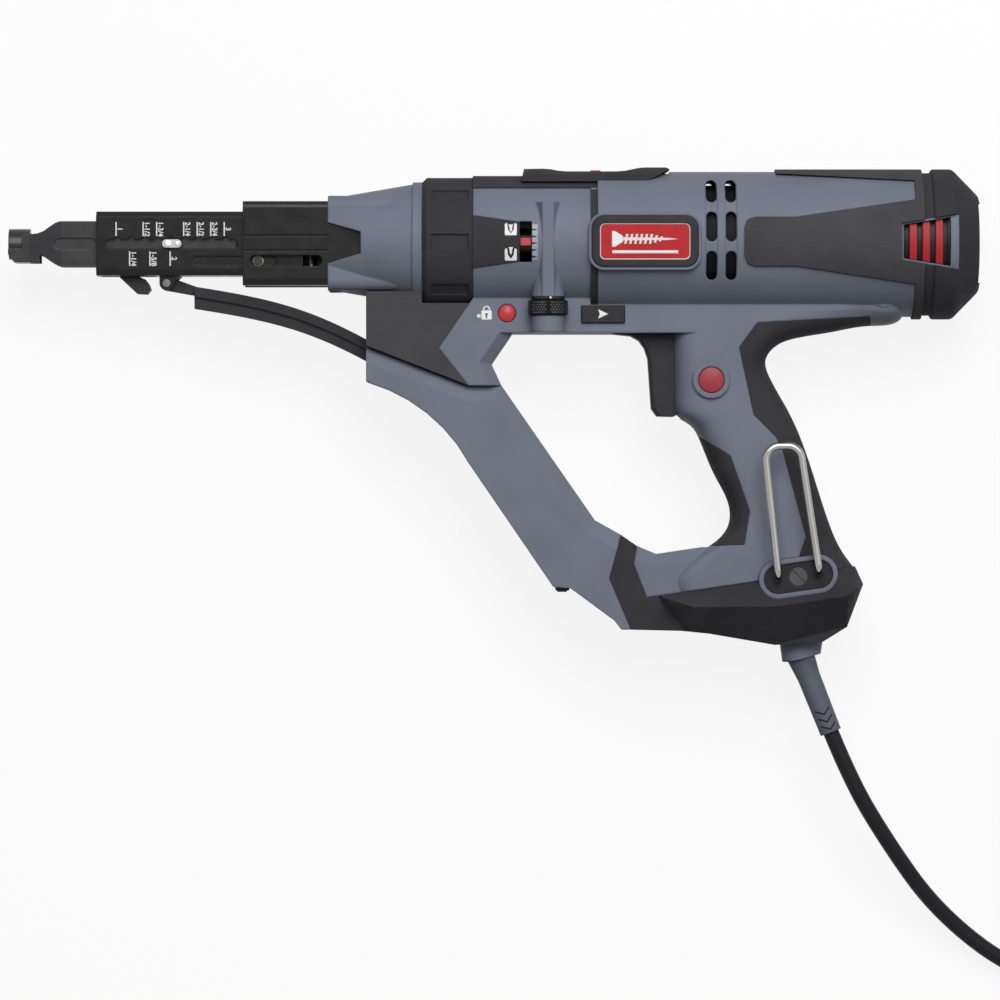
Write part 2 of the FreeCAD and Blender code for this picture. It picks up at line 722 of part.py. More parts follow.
def gear(teeth, x0, x1, y, bore, gap_below):
    """A spur gear; it shows a tooth space straight below or a tooth straight above its centre."""
    pitch = MODULE * teeth / 2
    base = pitch * math.cos(math.radians(PRESSURE_ANGLE))
    root = pitch - DEDENDUM_SHARE * MODULE
    tip = pitch + ADDENDUM_SHARE * MODULE
    flat = math.radians(PRESSURE_ANGLE)
    half = math.pi / (2 * teeth) - BACKLASH / (2 * pitch) + math.tan(flat) - flat

    def half_angle(radius):
        roll = math.acos(min(1, base / max(radius, base)))
        return half - (math.tan(roll) - roll)

    start = max(root, base)
    radii = [root] + [start + (tip - start) * i / FLANK_STEPS for i in range(FLANK_STEPS + 1)]
    first = -math.pi / 2 + math.pi / teeth if gap_below else math.pi / 2
    points = []
    for tooth in range(teeth):
        middle = first + 2 * math.pi * tooth / teeth
        sides = [(r, middle - half_angle(r)) for r in radii]
        sides += [(r, middle + half_angle(r)) for r in reversed(radii)]
        points += [V(x0, y + r * math.sin(a), r * math.cos(a)) for r, a in sides]
    outline = Part.makePolygon(points + points[:1])
    blank = Part.Face(outline).extrude(V(x1 - x0, 0, 0))
    return blank.cut(rod(bore, x0 - OVERRUN, x1 + OVERRUN, y)) if bore else blank


def rounded_path(points, radii):
    """A wire of straight runs joined by tangent arcs, one radius per inner point."""
    edges = []
    last = points[0]
    for i, radius in enumerate(radii):
        before = (points[i] - points[i + 1]).normalize()
        after = (points[i + 2] - points[i + 1]).normalize()
        opening = before.getAngle(after)
        reach = radius / math.tan(opening / 2)
        enter = points[i + 1] + before * reach
        leave = points[i + 1] + after * reach
        inward = (before + after).normalize()
        middle = points[i + 1] + inward * (radius / math.sin(opening / 2) - radius)
        edges.append(Part.makeLine(last, enter))
        edges.append(Part.Arc(enter, middle, leave).toShape())
        last = leave
    edges.append(Part.makeLine(last, points[-1]))
    return Part.Wire(edges)


def arc_from(start, heading, end):
    """The arc that leaves the start along a heading and ends at the end, or a line."""
    chord = end - start
    length = chord.Length
    along = chord * (1 / length)
    bow = heading - along * heading.dot(along)
    if bow.Length * length < FIT / 1000:
        return Part.makeLine(start, end)
    angle = heading.getAngle(along)
    middle = (start + end) * 0.5 + bow.normalize() * (length / 2 * math.tan(angle / 2))
    return Part.Arc(start, middle, end).toShape()


def biarcs(places, headings):
    """Two tangent arcs between each pair of neighbouring places."""
    edges = []
    for p0, t0, p1, t1 in zip(places, headings, places[1:], headings[1:]):
        v = p1 - p0
        t = t0 + t1
        bend = 2 * (1 - t0.dot(t1))
        reach = (-v.dot(t) + math.sqrt(v.dot(t) ** 2 + bend * v.dot(v))) / bend
        joint = (p0 + t0 * reach + p1 - t1 * reach) * 0.5
        edges.append(arc_from(p0, t0, joint))
        edges.append(arc_from(p1, t1 * -1, joint))
    return edges


def tube(wire, radius):
    """A round tube along a wire."""
    edge = wire.OrderedEdges[0]
    start = wire.OrderedVertexes[0].Point
    ends = [edge.valueAt(edge.FirstParameter), edge.valueAt(edge.LastParameter)]
    near = edge.FirstParameter if (ends[0] - start).Length < (ends[1] - start).Length else edge.LastParameter
    heading = edge.tangentAt(near) * (1 if near == edge.FirstParameter else -1)
    ring = Part.Wire(Part.Circle(start, heading, radius).toShape())
    return wire.makePipeShell([ring], True, False)


def own_gap(wire, radius, turn_length):
    """The least gap between a tube and its own neighbouring turns, measured on points."""
    step = radius / 2
    points = wire.discretize(Distance=step)
    skip = int(turn_length / 2 / step)
    least = min(
        (points[i] - points[j]).Length
        for i in range(0, len(points), 3)
        for j in range(i + skip, len(points))
    )
    return least - 2 * radius


# Feed nose
def nosepiece():
    back = X_SLIDE
    plate = back - PLATE_SHOW
    neck = plate - NECK_LENGTH
    tip = neck - TIP_LENGTH
    run = NECK_LENGTH - TIP_EDGE
    rise = PLATE_HALF_HEIGHT - NECK_HALF_HEIGHT
    curve = [(plate - run + a * run, NECK_HALF_HEIGHT + b * rise) for a, b in NECK_CURVE_SHARES]
    outline = [(neck - TIP_EDGE, NECK_HALF_HEIGHT)] + curve + [
        (back + TIP_EDGE, PLATE_HALF_HEIGHT), (back + 2 * TIP_EDGE, TONGUE_TOP),
        (back + TONGUE_LENGTH, TONGUE_TOP),
        (back + TONGUE_LENGTH, -TONGUE_BOTTOM), (back + 2 * TIP_EDGE, -TONGUE_BOTTOM),
        (back + TIP_EDGE, -PLATE_HALF_HEIGHT),
    ] + [(x, -y) for x, y in reversed(curve)] + [(neck - TIP_EDGE, -NECK_HALF_HEIGHT)]
    slot = rounded_block(
        back - PLATE_SLOT_LENGTH / 2, INDEX_SLOT_MIDDLE, PLATE_SLOT_LENGTH, PLATE_SLOT_WIDTH,
        PLATE_SLOT_WIDTH / 2, PLATE_OUTER - PLATE_SLOT_DEPTH, PLATE_OUTER + OVERRUN,
    )
    side = prism(outline, PLATE_INNER, PLATE_OUTER)
    plunger_x = back + PLUNGER_PLACE
    seat = pin(PLUNGER_RADIUS + PLUNGER_GAP, 0, PLATE_OUTER + OVERRUN, plunger_x, INDEX_SLOT_MIDDLE)
    shoe = prism(
        [
            (tip, -SHOE_TOP), (neck, -SHOE_TOP), (neck, -SHOE_DROP), (tip + SHOE_CHAMFER, -SHOE_DROP),
            (tip, SHOE_CHAMFER_RISE - SHOE_DROP),
        ],
        -NECK_OUTER, NECK_OUTER,
    )
    web = box(neck - TIP_WEB, neck, -NECK_HALF_HEIGHT, NECK_HALF_HEIGHT, -NECK_OUTER, NECK_OUTER)
    foot = box(
        neck - TIP_EDGE, neck + FOOT_LENGTH, -SHOE_DROP, FOOT_DEPTH - SHOE_DROP, PLATE_INNER, PLATE_OUTER
    )
    bend = cross_prism(
        [
            (plate, PLATE_OUTER), (neck, NECK_OUTER), (tip - OVERRUN, NECK_OUTER), (tip - OVERRUN, SPREAD),
            (plate, SPREAD),
        ],
        -SPREAD, SPREAD,
    )
    plates = [cut(side, slot, seat), mirrored(side)]
    body = fuse([rod(TIP_RADIUS, tip, neck), shoe, web] + plates + both(foot))
    return cut(body, bend, mirrored(bend), rod(TIP_BORE_RADIUS, tip - OVERRUN, neck + OVERRUN))


def index_plunger():
    x = X_SLIDE + PLUNGER_PLACE
    face = SLIDE_HALF_WIDTH + PLUNGER_GAP
    stem = pin(PLUNGER_RADIUS, PLUNGER_ROOT, face + PLUNGER_HEAD / 2, x, INDEX_SLOT_MIDDLE)
    head = rounded_block(
        x, INDEX_SLOT_MIDDLE, PLUNGER_HEAD_LENGTH, PLUNGER_HEAD_HEIGHT, PLUNGER_HEAD_HEIGHT / 2.1,
        face, face + PLUNGER_HEAD,
    )
    return fuse([stem, head])


def feed_slide():
    half_y, half_z = SLIDE_HALF_HEIGHT, SLIDE_HALF_WIDTH
    profile = [
        (half_z, half_y - SLIDE_BEVEL), (half_z - SLIDE_BEVEL, half_y), (SLIDE_BEVEL - half_z, half_y),
        (-half_z, half_y - SLIDE_BEVEL), (-half_z, SLIDE_BEVEL - half_y), (SLIDE_BEVEL - half_z, -half_y),
        (half_z - SLIDE_BEVEL, -half_y), (half_z, SLIDE_BEVEL - half_y),
    ]
    ring = [V(X_SLIDE, y, z) for z, y in profile]
    bar = Part.Face(Part.makePolygon(ring + ring[:1])).extrude(V(X_SLIDE_BACK - X_SLIDE, 0, 0))
    inner_y, inner_z = half_y - SLIDE_WALL, half_z - SLIDE_WALL
    hollow = box(X_SLIDE - OVERRUN, X_SLIDE_BACK - SLIDE_BACK_WALL, -inner_y, inner_y, -inner_z, inner_z)
    bore = rod(SLIDE_BACK_BORE, X_SLIDE, X_SLIDE_BACK + OVERRUN)
    slot_x = X_SLIDE + INDEX_SLOT_FRONT
    slot_middle = slot_x + INDEX_SLOT_LENGTH / 2
    slot = rounded_block(
        slot_middle, INDEX_SLOT_MIDDLE, INDEX_SLOT_LENGTH, INDEX_SLOT_WIDTH, INDEX_SLOT_WIDTH / 2.1,
        inner_z - SLIDE_WALL, half_z + OVERRUN,
    )
    notch_y = INDEX_SLOT_MIDDLE + INDEX_SLOT_WIDTH / 2
    first = slot_middle - INDEX_NOTCH_STEP * (INDEX_NOTCHES - 1) / 2
    notches = [
        pin(INDEX_NOTCH_RADIUS, inner_z - SLIDE_WALL, half_z + OVERRUN, first + i * INDEX_NOTCH_STEP, notch_y)
        for i in range(INDEX_NOTCHES)
    ]
    recess = rounded_block(
        X_SLIDE + LOWER_SLOT_FRONT + LOWER_SLOT_LENGTH / 2, STOP_LINE, LOWER_SLOT_LENGTH, LOWER_SLOT_WIDTH,
        LOWER_SLOT_WIDTH / 2.1, half_z - LOWER_SLOT_DEPTH, half_z + OVERRUN,
    )
    mouth_x = X_SLIDE + FEED_MOUTH_FRONT
    mouth = box(
        mouth_x, mouth_x + FEED_MOUTH_LENGTH, -half_y - OVERRUN, SLIDE_WALL - half_y + FIT,
        -FEED_MOUTH_HALF, FEED_MOUTH_HALF,
    )
    exit_top = box(
        mouth_x, mouth_x + FEED_MOUTH_LENGTH / 2, half_y - SLIDE_WALL - FIT, half_y + OVERRUN,
        -FEED_MOUTH_HALF, FEED_MOUTH_HALF,
    )
    body = cut(bar, hollow, bore, slot, recess, mouth, exit_top, *notches)
    cheek_x = X_SLIDE + CHEEK_FRONT
    cheek = box(cheek_x, cheek_x + CHEEK_LENGTH, -half_y, -CHEEK_TOP, CHEEK_INNER, CHEEK_OUTER)
    lug_x = X_SLIDE + LUG_PLACE
    lug = fuse([
        pin(LUG_RADIUS, LUG_INNER, LUG_OUTER, lug_x, -LUG_DROP),
        prism(
            [(lug_x - LUG_RADIUS, -LUG_DROP), (lug_x + LUG_RADIUS / 2, -LUG_DROP - LUG_RADIUS / 2),
             (lug_x + LUG_LENGTH, SLIDE_WALL / 2 - half_y), (lug_x - LUG_RADIUS, SLIDE_WALL / 2 - half_y)],
            LUG_INNER, LUG_OUTER,
        ),
    ])
    body = fuse([body] + both(cheek) + both(lug))
    x_stop = X_GUIDE + STOP_PLACE
    return cut(
        body,
        pin(AXLE_RADIUS + AXLE_FIT, -CHEEK_OUTER, CHEEK_OUTER, X_SLIDE + SPROCKET_PLACE, -SPROCKET_DROP),
        pin(AXLE_RADIUS + AXLE_FIT, -CHEEK_OUTER, CHEEK_OUTER, X_SLIDE + LEVER_PLACE, -LEVER_DROP),
        pin(RAIL_PIN_RADIUS, -RAIL_PIN_HALF, RAIL_PIN_HALF, lug_x, -LUG_DROP),
        pin(STOP_SHANK_RADIUS, half_z - STOP_SHANK, half_z + OVERRUN, x_stop, STOP_LINE),
    )


def feed_sprocket():
    x, y = X_SLIDE + SPROCKET_PLACE, -SPROCKET_DROP
    points = []
    for i in range(2 * SPROCKET_TEETH):
        radius = SPROCKET_RADIUS if i % 2 else SPROCKET_ROOT
        for side in (-1, 1):
            a = math.pi * (i + side / 4) / SPROCKET_TEETH
            points.append((x + radius * math.cos(a), y + radius * math.sin(a)))
    disc = prism(points, SPROCKET_INNER, SPROCKET_OUTER)
    hub = pin(SPROCKET_HUB, -SPROCKET_INNER, SPROCKET_INNER, x, y)
    axle = pin(AXLE_RADIUS, -CHEEK_OUTER, CHEEK_OUTER, x, y)
    return fuse([hub, axle] + both(disc))


def release_lever():
    x, y = X_SLIDE + LEVER_PLACE, -LEVER_DROP
    outline = [(x + a * LEVER_REACH, y + b * LEVER_HANG) for a, b in LEVER_SHARES]
    body = prism(outline, -LEVER_HALF_WIDTH, LEVER_HALF_WIDTH)
    return fuse([body, pin(AXLE_RADIUS, -CHEEK_OUTER, CHEEK_OUTER, x, y)])


def strip_guide():
    x, y = X_SLIDE + LUG_PLACE, -LUG_DROP
    top = [(x + a * RAIL_RUN, y - b * RAIL_FALL) for a, b in RAIL_TOP_SHARES]

    def run(upper, lower, half):
        edges = []
        ends = []
        for drop in (upper, lower):
            curve = Part.BSplineCurve()
            curve.interpolate([V(px, py - drop, -half) for px, py in top])
            edges.append(curve.toShape())
            ends.append([V(px, py - drop, -half) for px, py in (top[0], top[-1])])
        edges += [Part.makeLine(ends[0][0], ends[1][0]), Part.makeLine(ends[0][1], ends[1][1])]
        face = Part.Face(Part.Wire(Part.__sortEdges__(edges)))
        return face.extrude(V(0, 0, 2 * half))

    flange = run(0, RAIL_FLANGE_DEPTH, RAIL_FLANGE_HALF)
    band = run(RAIL_FLANGE_DEPTH, RAIL_FLANGE_DEPTH + RAIL_BAND_DEPTH, RAIL_BAND_HALF)
    near = top[0]
    tab = prism(
        [(x, y + LUG_RADIUS), (near[0] + RAIL_TAB_HALF, near[1] - RAIL_FLANGE_DEPTH / 4),
         (near[0] + RAIL_TAB_HALF, near[1] - RAIL_FLANGE_DEPTH), (x, y - LUG_RADIUS)],
        -RAIL_TAB_HALF, RAIL_TAB_HALF,
    )
    eye = pin(LUG_RADIUS, -RAIL_TAB_HALF, RAIL_TAB_HALF, x, y)
    body = fuse([flange, band, tab, eye])
    return body.cut(pin(RAIL_PIN_RADIUS + AXLE_FIT, -RAIL_FLANGE_HALF, RAIL_FLANGE_HALF, x, y))


def strip_guide_pin():
    return pin(RAIL_PIN_RADIUS, -RAIL_PIN_HALF, RAIL_PIN_HALF, X_SLIDE + LUG_PLACE, -LUG_DROP)


def guide_bar(grow):
    return section_bar(
        GUIDE_HALF_HEIGHT + grow, GUIDE_HALF_WIDTH + grow, GUIDE_ROUND + grow, X_GUIDE, X_GUIDE_BACK
    )


def guide_housing():
    inner_y = SLIDE_HALF_HEIGHT + SLIDE_FIT
    inner_z = SLIDE_HALF_WIDTH + SLIDE_FIT
    hollow = box(X_GUIDE - OVERRUN, X_GUIDE_BACK + OVERRUN, -inner_y, inner_y, -inner_z, inner_z)
    mouth = box(
        X_GUIDE - OVERRUN, X_CONE + OVERRUN, -GUIDE_HALF_HEIGHT - OVERRUN, FIT - inner_y,
        -GUIDE_MOUTH_HALF, GUIDE_MOUTH_HALF,
    )
    window_x = X_GUIDE + GUIDE_WINDOW_FRONT + GUIDE_WINDOW_LENGTH / 2
    window = rounded_block(
        window_x, STOP_LINE, GUIDE_WINDOW_LENGTH, GUIDE_WINDOW_WIDTH, GUIDE_WINDOW_WIDTH / 2.1,
        inner_z - SLIDE_WALL, GUIDE_HALF_WIDTH + OVERRUN,
    )
    groove_half = GUIDE_WINDOW_WIDTH / 2
    stop_groove = box(
        X_GUIDE + GUIDE_WINDOW_FRONT + groove_half, X_GUIDE_BACK + OVERRUN, STOP_LINE - groove_half,
        STOP_LINE + groove_half, 0, inner_z + STOP_GROOVE_DEPTH,
    )
    plunger_groove = box(
        X_GUIDE - OVERRUN, X_GUIDE_BACK + OVERRUN, INDEX_SLOT_MIDDLE - PLUNGER_GROOVE_HALF,
        INDEX_SLOT_MIDDLE + PLUNGER_GROOVE_HALF, 0, inner_z + PLUNGER_GROOVE_DEPTH,
    )
    lines = [
        box(
            X_GUIDE - OVERRUN, X_CONE, y - GUIDE_LINE / 2, y + GUIDE_LINE / 2,
            GUIDE_HALF_WIDTH - GUIDE_LINE_DEPTH, GUIDE_HALF_WIDTH + OVERRUN,
        )
        for y in (-GUIDE_LINE_HALF, GUIDE_LINE_HALF)
    ]
    lines += [mirrored(line) for line in lines]
    return cut(guide_bar(0), hollow, mouth, window, stop_groove, plunger_groove, *lines)


def guide_screw():
    """A stop screw with a captive washer."""
    x = X_GUIDE + STOP_PLACE
    seat = SLIDE_HALF_WIDTH + STOP_WASHER
    return fuse([
        pin(STOP_HEAD_RADIUS, seat, seat + STOP_HEAD, x, STOP_LINE),
        pin(STOP_WASHER_RADIUS, SLIDE_HALF_WIDTH, seat, x, STOP_LINE),
        pin(STOP_SHANK_RADIUS, SLIDE_HALF_WIDTH - STOP_SHANK, SLIDE_HALF_WIDTH, x, STOP_LINE),
    ])


def return_spring():
    wire_radius = SPRING_WIRE / 2
    start = X_SLIDE_BACK + SPRING_GAP + wire_radius
    end = X_GEAR - SPRING_GAP - wire_radius
    quarters = 4 * SPRING_TURNS
    pitch = (end - start) / SPRING_TURNS
    rise = pitch / (2 * math.pi * SPRING_RADIUS)
    places, headings = [], []
    for i in range(quarters + 1):
        a = math.pi * i / 2
        places.append(V(start + pitch * i / 4, SPRING_RADIUS * math.cos(a), SPRING_RADIUS * math.sin(a)))
        headings.append(V(rise, -math.sin(a), math.cos(a)).normalize())
    path = Part.Wire(biarcs(places, headings))
    print("return spring gap", round(own_gap(path, wire_radius, 2 * math.pi * SPRING_RADIUS), 2))
    return tube(path, wire_radius)


# Front body
def nose_cone_form():
    back = X_COLLAR - CONE_RIM_LENGTH
    return fuse([
        section_bar(CONE_FRONT_HALF_HEIGHT, CONE_FRONT_HALF_WIDTH, CONE_CORNER, X_CONE, back),
        Part.makeCone(CONE_FRONT_RADIUS, CONE_BACK_RADIUS, back - X_CONE, V(X_CONE, 0, 0), V(1, 0, 0)),
        rod(CONE_RIM_RADIUS, back, X_COLLAR),
    ])


def nose_cone():
    notch = prism(
        [
            (X_CONE - OVERRUN, CONE_NOTCH_HALF), (X_CONE, CONE_NOTCH_HALF),
            (X_CONE + CONE_NOTCH_LENGTH, CONE_NOTCH_END_HALF),
            (X_CONE + CONE_NOTCH_LENGTH, -CONE_NOTCH_END_HALF),
            (X_CONE, -CONE_NOTCH_HALF), (X_CONE - OVERRUN, -CONE_NOTCH_HALF),
        ],
        GUIDE_HALF_WIDTH - GUIDE_ROUND, SPREAD,
    )
    body = cut(nose_cone_form(), guide_bar(0), notch, mirrored(notch))
    return cut(body, box(
        X_CONE - OVERRUN, X_CONE + OVERRUN, -SPREAD, -GUIDE_HALF_HEIGHT + FIT,
        -GUIDE_MOUTH_HALF, GUIDE_MOUTH_HALF,
    ))


def collar_form():
    c = COLLAR_CHAMFER
    outline = [
        (X_COLLAR, 0), (X_COLLAR, COLLAR_RADIUS - c), (X_COLLAR + c, COLLAR_RADIUS),
        (X_GEAR, COLLAR_RADIUS), (X_GEAR, 0),
    ]
    return Part.Face(polygon(outline)).revolve(V(0, 0, 0), V(1, 0, 0), 360)


def saddle_form():
    outline = [(a * SADDLE_LENGTH - SADDLE_FRONT, b * SADDLE_HEIGHT) for a, b in SADDLE_SHARES]
    body = prism(outline, -SADDLE_HALF_WIDTH, SADDLE_HALF_WIDTH)
    return body.common(rod(SADDLE_RADIUS, -SADDLE_FRONT - OVERRUN, SADDLE_LENGTH))


def front_rubber_zone():
    """Where the overmould lies on the gear barrel: a wedge on each side and a strip on top."""
    wedge = prism(
        [(X_GEAR - FIT, WEDGE_HALF), (X_GEAR + WEDGE_LENGTH, WEDGE_END_HALF),
         (X_GEAR + WEDGE_LENGTH, -WEDGE_END_HALF), (X_GEAR - FIT, -WEDGE_HALF)],
        0, SPREAD,
    )
    strip = box(X_GEAR - FIT, SEAM_WIDTH, STRIP_BOTTOM, SPREAD, -SPREAD, SPREAD)
    return fuse(both(wedge) + [strip])


def front_overmould():
    spring_way = rod(SPRING_RADIUS + SPRING_WIRE, X_GUIDE_BACK - OVERRUN, X_GEAR + OVERRUN)
    ring = cut(collar_form(), guide_bar(0), spring_way)
    flats = [
        box(
            X_COLLAR + COLLAR_CHAMFER * 2, X_GEAR - COLLAR_CHAMFER, -GUIDE_LINE_HALF, GUIDE_LINE_HALF,
            COLLAR_RADIUS - COLLAR_FLAT, SPREAD,
        )
    ]
    for i in range(1, COLLAR_FLATS):
        flat = flats[0].copy()
        flat.rotate(V(0, 0, 0), V(1, 0, 0), 360 / COLLAR_FLATS * i)
        flats.append(flat)
    ring = cut(ring, *flats)
    outer = GEAR_BARREL_RADIUS + GEAR_RUBBER_PROUD
    skin = pipe(outer, GEAR_BARREL_RADIUS - RUBBER_SEAT, X_GEAR - COLLAR_CHAMFER, SEAM_WIDTH)
    skin = skin.common(front_rubber_zone())
    saddle = cut(
        saddle_form(),
        rod(GEAR_BARREL_RADIUS - RUBBER_SEAT, X_GEAR, 0),
        rod(MOTOR_BARREL_RADIUS - SADDLE_DEPTH, 0, X_REAR),
    )
    inlay = saddle_inlay_form(0)
    return cut(fuse([ring, skin, saddle]), inlay)


def saddle_inlay_form(lift):
    dip = SADDLE_HEIGHT * SADDLE_DIP_SHARE
    half = INLAY_HALF_WIDTH
    return box(0, INLAY_LENGTH, dip - INLAY_DEPTH, dip + INLAY_RISE + lift, -half, half)


def saddle_inlay():
    return saddle_inlay_form(0)


# Body shells
def base_zone():
    return slab(handle(BASE_SHARES))


def arm_outline():
    top = handle(ARM_TOP_SHARES)
    bow = handle(ARM_BOW_SHARES)
    return top + handle(ARM_END_SHARES) + bow[:1] + arc_points(*bow, ARM_BOW_STEPS)


def bridge_form():
    return bevelled(handle(BRIDGE_SHARES), HANDLE_HALF_WIDTH, BRIDGE_BEVEL, BRIDGE_BEVEL_DEPTH, (4, 5))


def cross_form():
    return bevelled(handle(CROSS_SHARES), CROSS_HALF_WIDTH, CROSS_BEVEL, CROSS_BEVEL_DEPTH, (0, 1))


def body_envelope():
    return fuse([
        rod(GEAR_BARREL_RADIUS, X_GEAR, 0), rod(MOTOR_BARREL_RADIUS, 0, X_REAR),
        bridge_form(), grip_form(0), cross_form(),
    ])


def body_hollow():
    bridge = handle(BRIDGE_SHARES)
    cross = handle(CROSS_SHARES)
    half = HANDLE_HALF_WIDTH - SHELL_WALL - BRIDGE_BEVEL_DEPTH / 2
    return fuse([
        rod(GEAR_BORE, X_GEAR - OVERRUN, SHELL_WALL),
        rod(MOTOR_BORE, 0, X_REAR + OVERRUN),
        prism(shifted(bridge, [SHELL_WALL + BRIDGE_BEVEL_DEPTH / 2] * len(bridge)), -half, half),
        grip_form(SHELL_WALL + RUBBER_SEAT),
        prism(
            shifted(cross, [SHELL_WALL] * len(cross)), SHELL_WALL - CROSS_HALF_WIDTH + CROSS_BEVEL_DEPTH / 2,
            CROSS_HALF_WIDTH - SHELL_WALL - CROSS_BEVEL_DEPTH / 2,
        ),
    ])


def rear_rubber_zone():
    panel = slab(barrel(PANEL_SHARES))
    top = slab(barrel(STRIP_SHARES))
    band = box(X_REAR - REAR_BAND, X_REAR + OVERRUN, -SPREAD, SPREAD, -SPREAD, SPREAD)
    return fuse([panel, top, band])


def window_outline():
    front, back = X_REAR - WINDOW_BACK, X_REAR + WINDOW_AHEAD
    return [
        (front, WINDOW_FRONT_HALF), (back, WINDOW_BACK_HALF),
        (back, -WINDOW_BACK_HALF), (front, -WINDOW_FRONT_HALF),
    ]


def badge_form(z0, z1, grow):
    return rounded_block(
        BADGE_MIDDLE, 0, BADGE_LENGTH + 2 * grow, BADGE_HEIGHT + 2 * grow, BADGE_CORNER + grow, z0, z1
    )


def badge_floor():
    return rod(MOTOR_BARREL_RADIUS - BADGE_RIM, -SPREAD, X_REAR)


def hook_place():
    return at(HOOK_SHARE)


def hook_form(length, width, z0, z1):
    x, y = hook_place()
    return rounded_block(x, y, length, width, width / 2 - HOOK_FLAT, z0, z1, HOOK_TILT)


def hook_holes():
    """The thread for the hook's screw on the near side and the spare one on the far side."""
    x, y = hook_place()
    return [
        pin(HOOK_SCREW_RADIUS, HOOK_SCREW_END, SPREAD, x, y),
        pin(HOOK_SCREW_RADIUS, -SPREAD, SOCKET_DEPTH - BASE_HALF_WIDTH, x, y),
    ]


def hook_seats():
    """The deep seat of the hook on the near side and the flat of its spare socket on the far side."""
    return [
        hook_form(HOOK_PLATE_LENGTH, HOOK_PLATE_WIDTH, HOOK_FLOOR, SPREAD),
        hook_form(HOOK_PLATE_LENGTH, HOOK_PLATE_WIDTH, -SPREAD, -BASE_HALF_WIDTH),
    ]


def screw_places():
    return handle(SCREW_SHARES)


def housing():
    """Both housing halves as one shell, before they part at the middle plane."""
    lock_x, lock_y = at(LOCK_SHARE)
    wheel_x = -WHEEL_PLACE
    wheel_foot = -WHEEL_TOP - WHEEL_HEIGHT
    ledge = at(BRIDGE_SHARES[6])[1]
    face = GEAR_BARREL_RADIUS + RIB_RISE
    foot = RIB_FACE_HALF + RIB_DRAFT
    rib = cross_prism(
        [
            (wheel_x - RIB_FACE_HALF, face), (wheel_x + RIB_FACE_HALF, face),
            (wheel_x + foot, face - RIB_DEPTH), (wheel_x - foot, face - RIB_DEPTH),
        ],
        BOSS_GAP - WHEEL_TOP, RIB_TOP,
    )
    solid = fuse([
        body_envelope(),
        pin(LOCK_RING_RADIUS, 0, GRIP_HALF_WIDTH + LOCK_RING_RISE, lock_x, lock_y),
        post(BOSS_RADIUS, ledge, wheel_foot - BOSS_GAP, wheel_x, WHEEL_OUT),
        Part.makeCone(
            BOSS_RADIUS, BOSS_TOP_RADIUS, BOSS_HEIGHT, V(wheel_x, BOSS_GAP - WHEEL_TOP, WHEEL_OUT), V(0, 1, 0)
        ),
        rib,
    ] + both(badge_form(0, HALF_WIDTH - BADGE_RIM_DROP, BADGE_RIM)))
    hollow = body_hollow()
    inner_half = GRIP_HALF_WIDTH - SHELL_WALL
    seat_x, seat_y = at(SWITCH_SEAT_SHARE)
    bosses = [
        pin(SCREW_BOSS_RADIUS, -inner_half, inner_half, x, y) for x, y in screw_places()
    ]
    bosses += both(pin(SWITCH_SEAT_RADIUS, SWITCH_HALF_WIDTH, inner_half, seat_x, seat_y))
    web = pipe(MOTOR_BORE + FIT, MOTOR_BEARING_RADIUS, REAR_BEARING, REAR_BEARING + BEARING_WIDTH)
    web_face = pipe(
        MOTOR_BORE + FIT, WEB_RADIUS, REAR_BEARING + WEB_THICKNESS, REAR_BEARING + BEARING_WIDTH + OVERRUN,
    )
    bosses.append(web.cut(web_face))
    lock_guide = pin(LOCK_RING_RADIUS, GRIP_HALF_WIDTH - LOCK_GUIDE, GRIP_HALF_WIDTH, lock_x, lock_y)
    release_guide = pin(
        RELEASE_RADIUS + SHELL_WALL, HANDLE_HALF_WIDTH - RELEASE_DEPTH, HANDLE_HALF_WIDTH,
        -RELEASE_PLACE, -RELEASE_DROP,
    )
    shell = fuse([solid.cut(hollow), lock_guide, release_guide] + bosses)
    shell = cut(shell, rod(GEAR_BORE, X_GEAR - OVERRUN, SHELL_WALL), collar_form(), base_zone())
    return cut_openings(shell, lock_x, lock_y, wheel_x, wheel_foot)


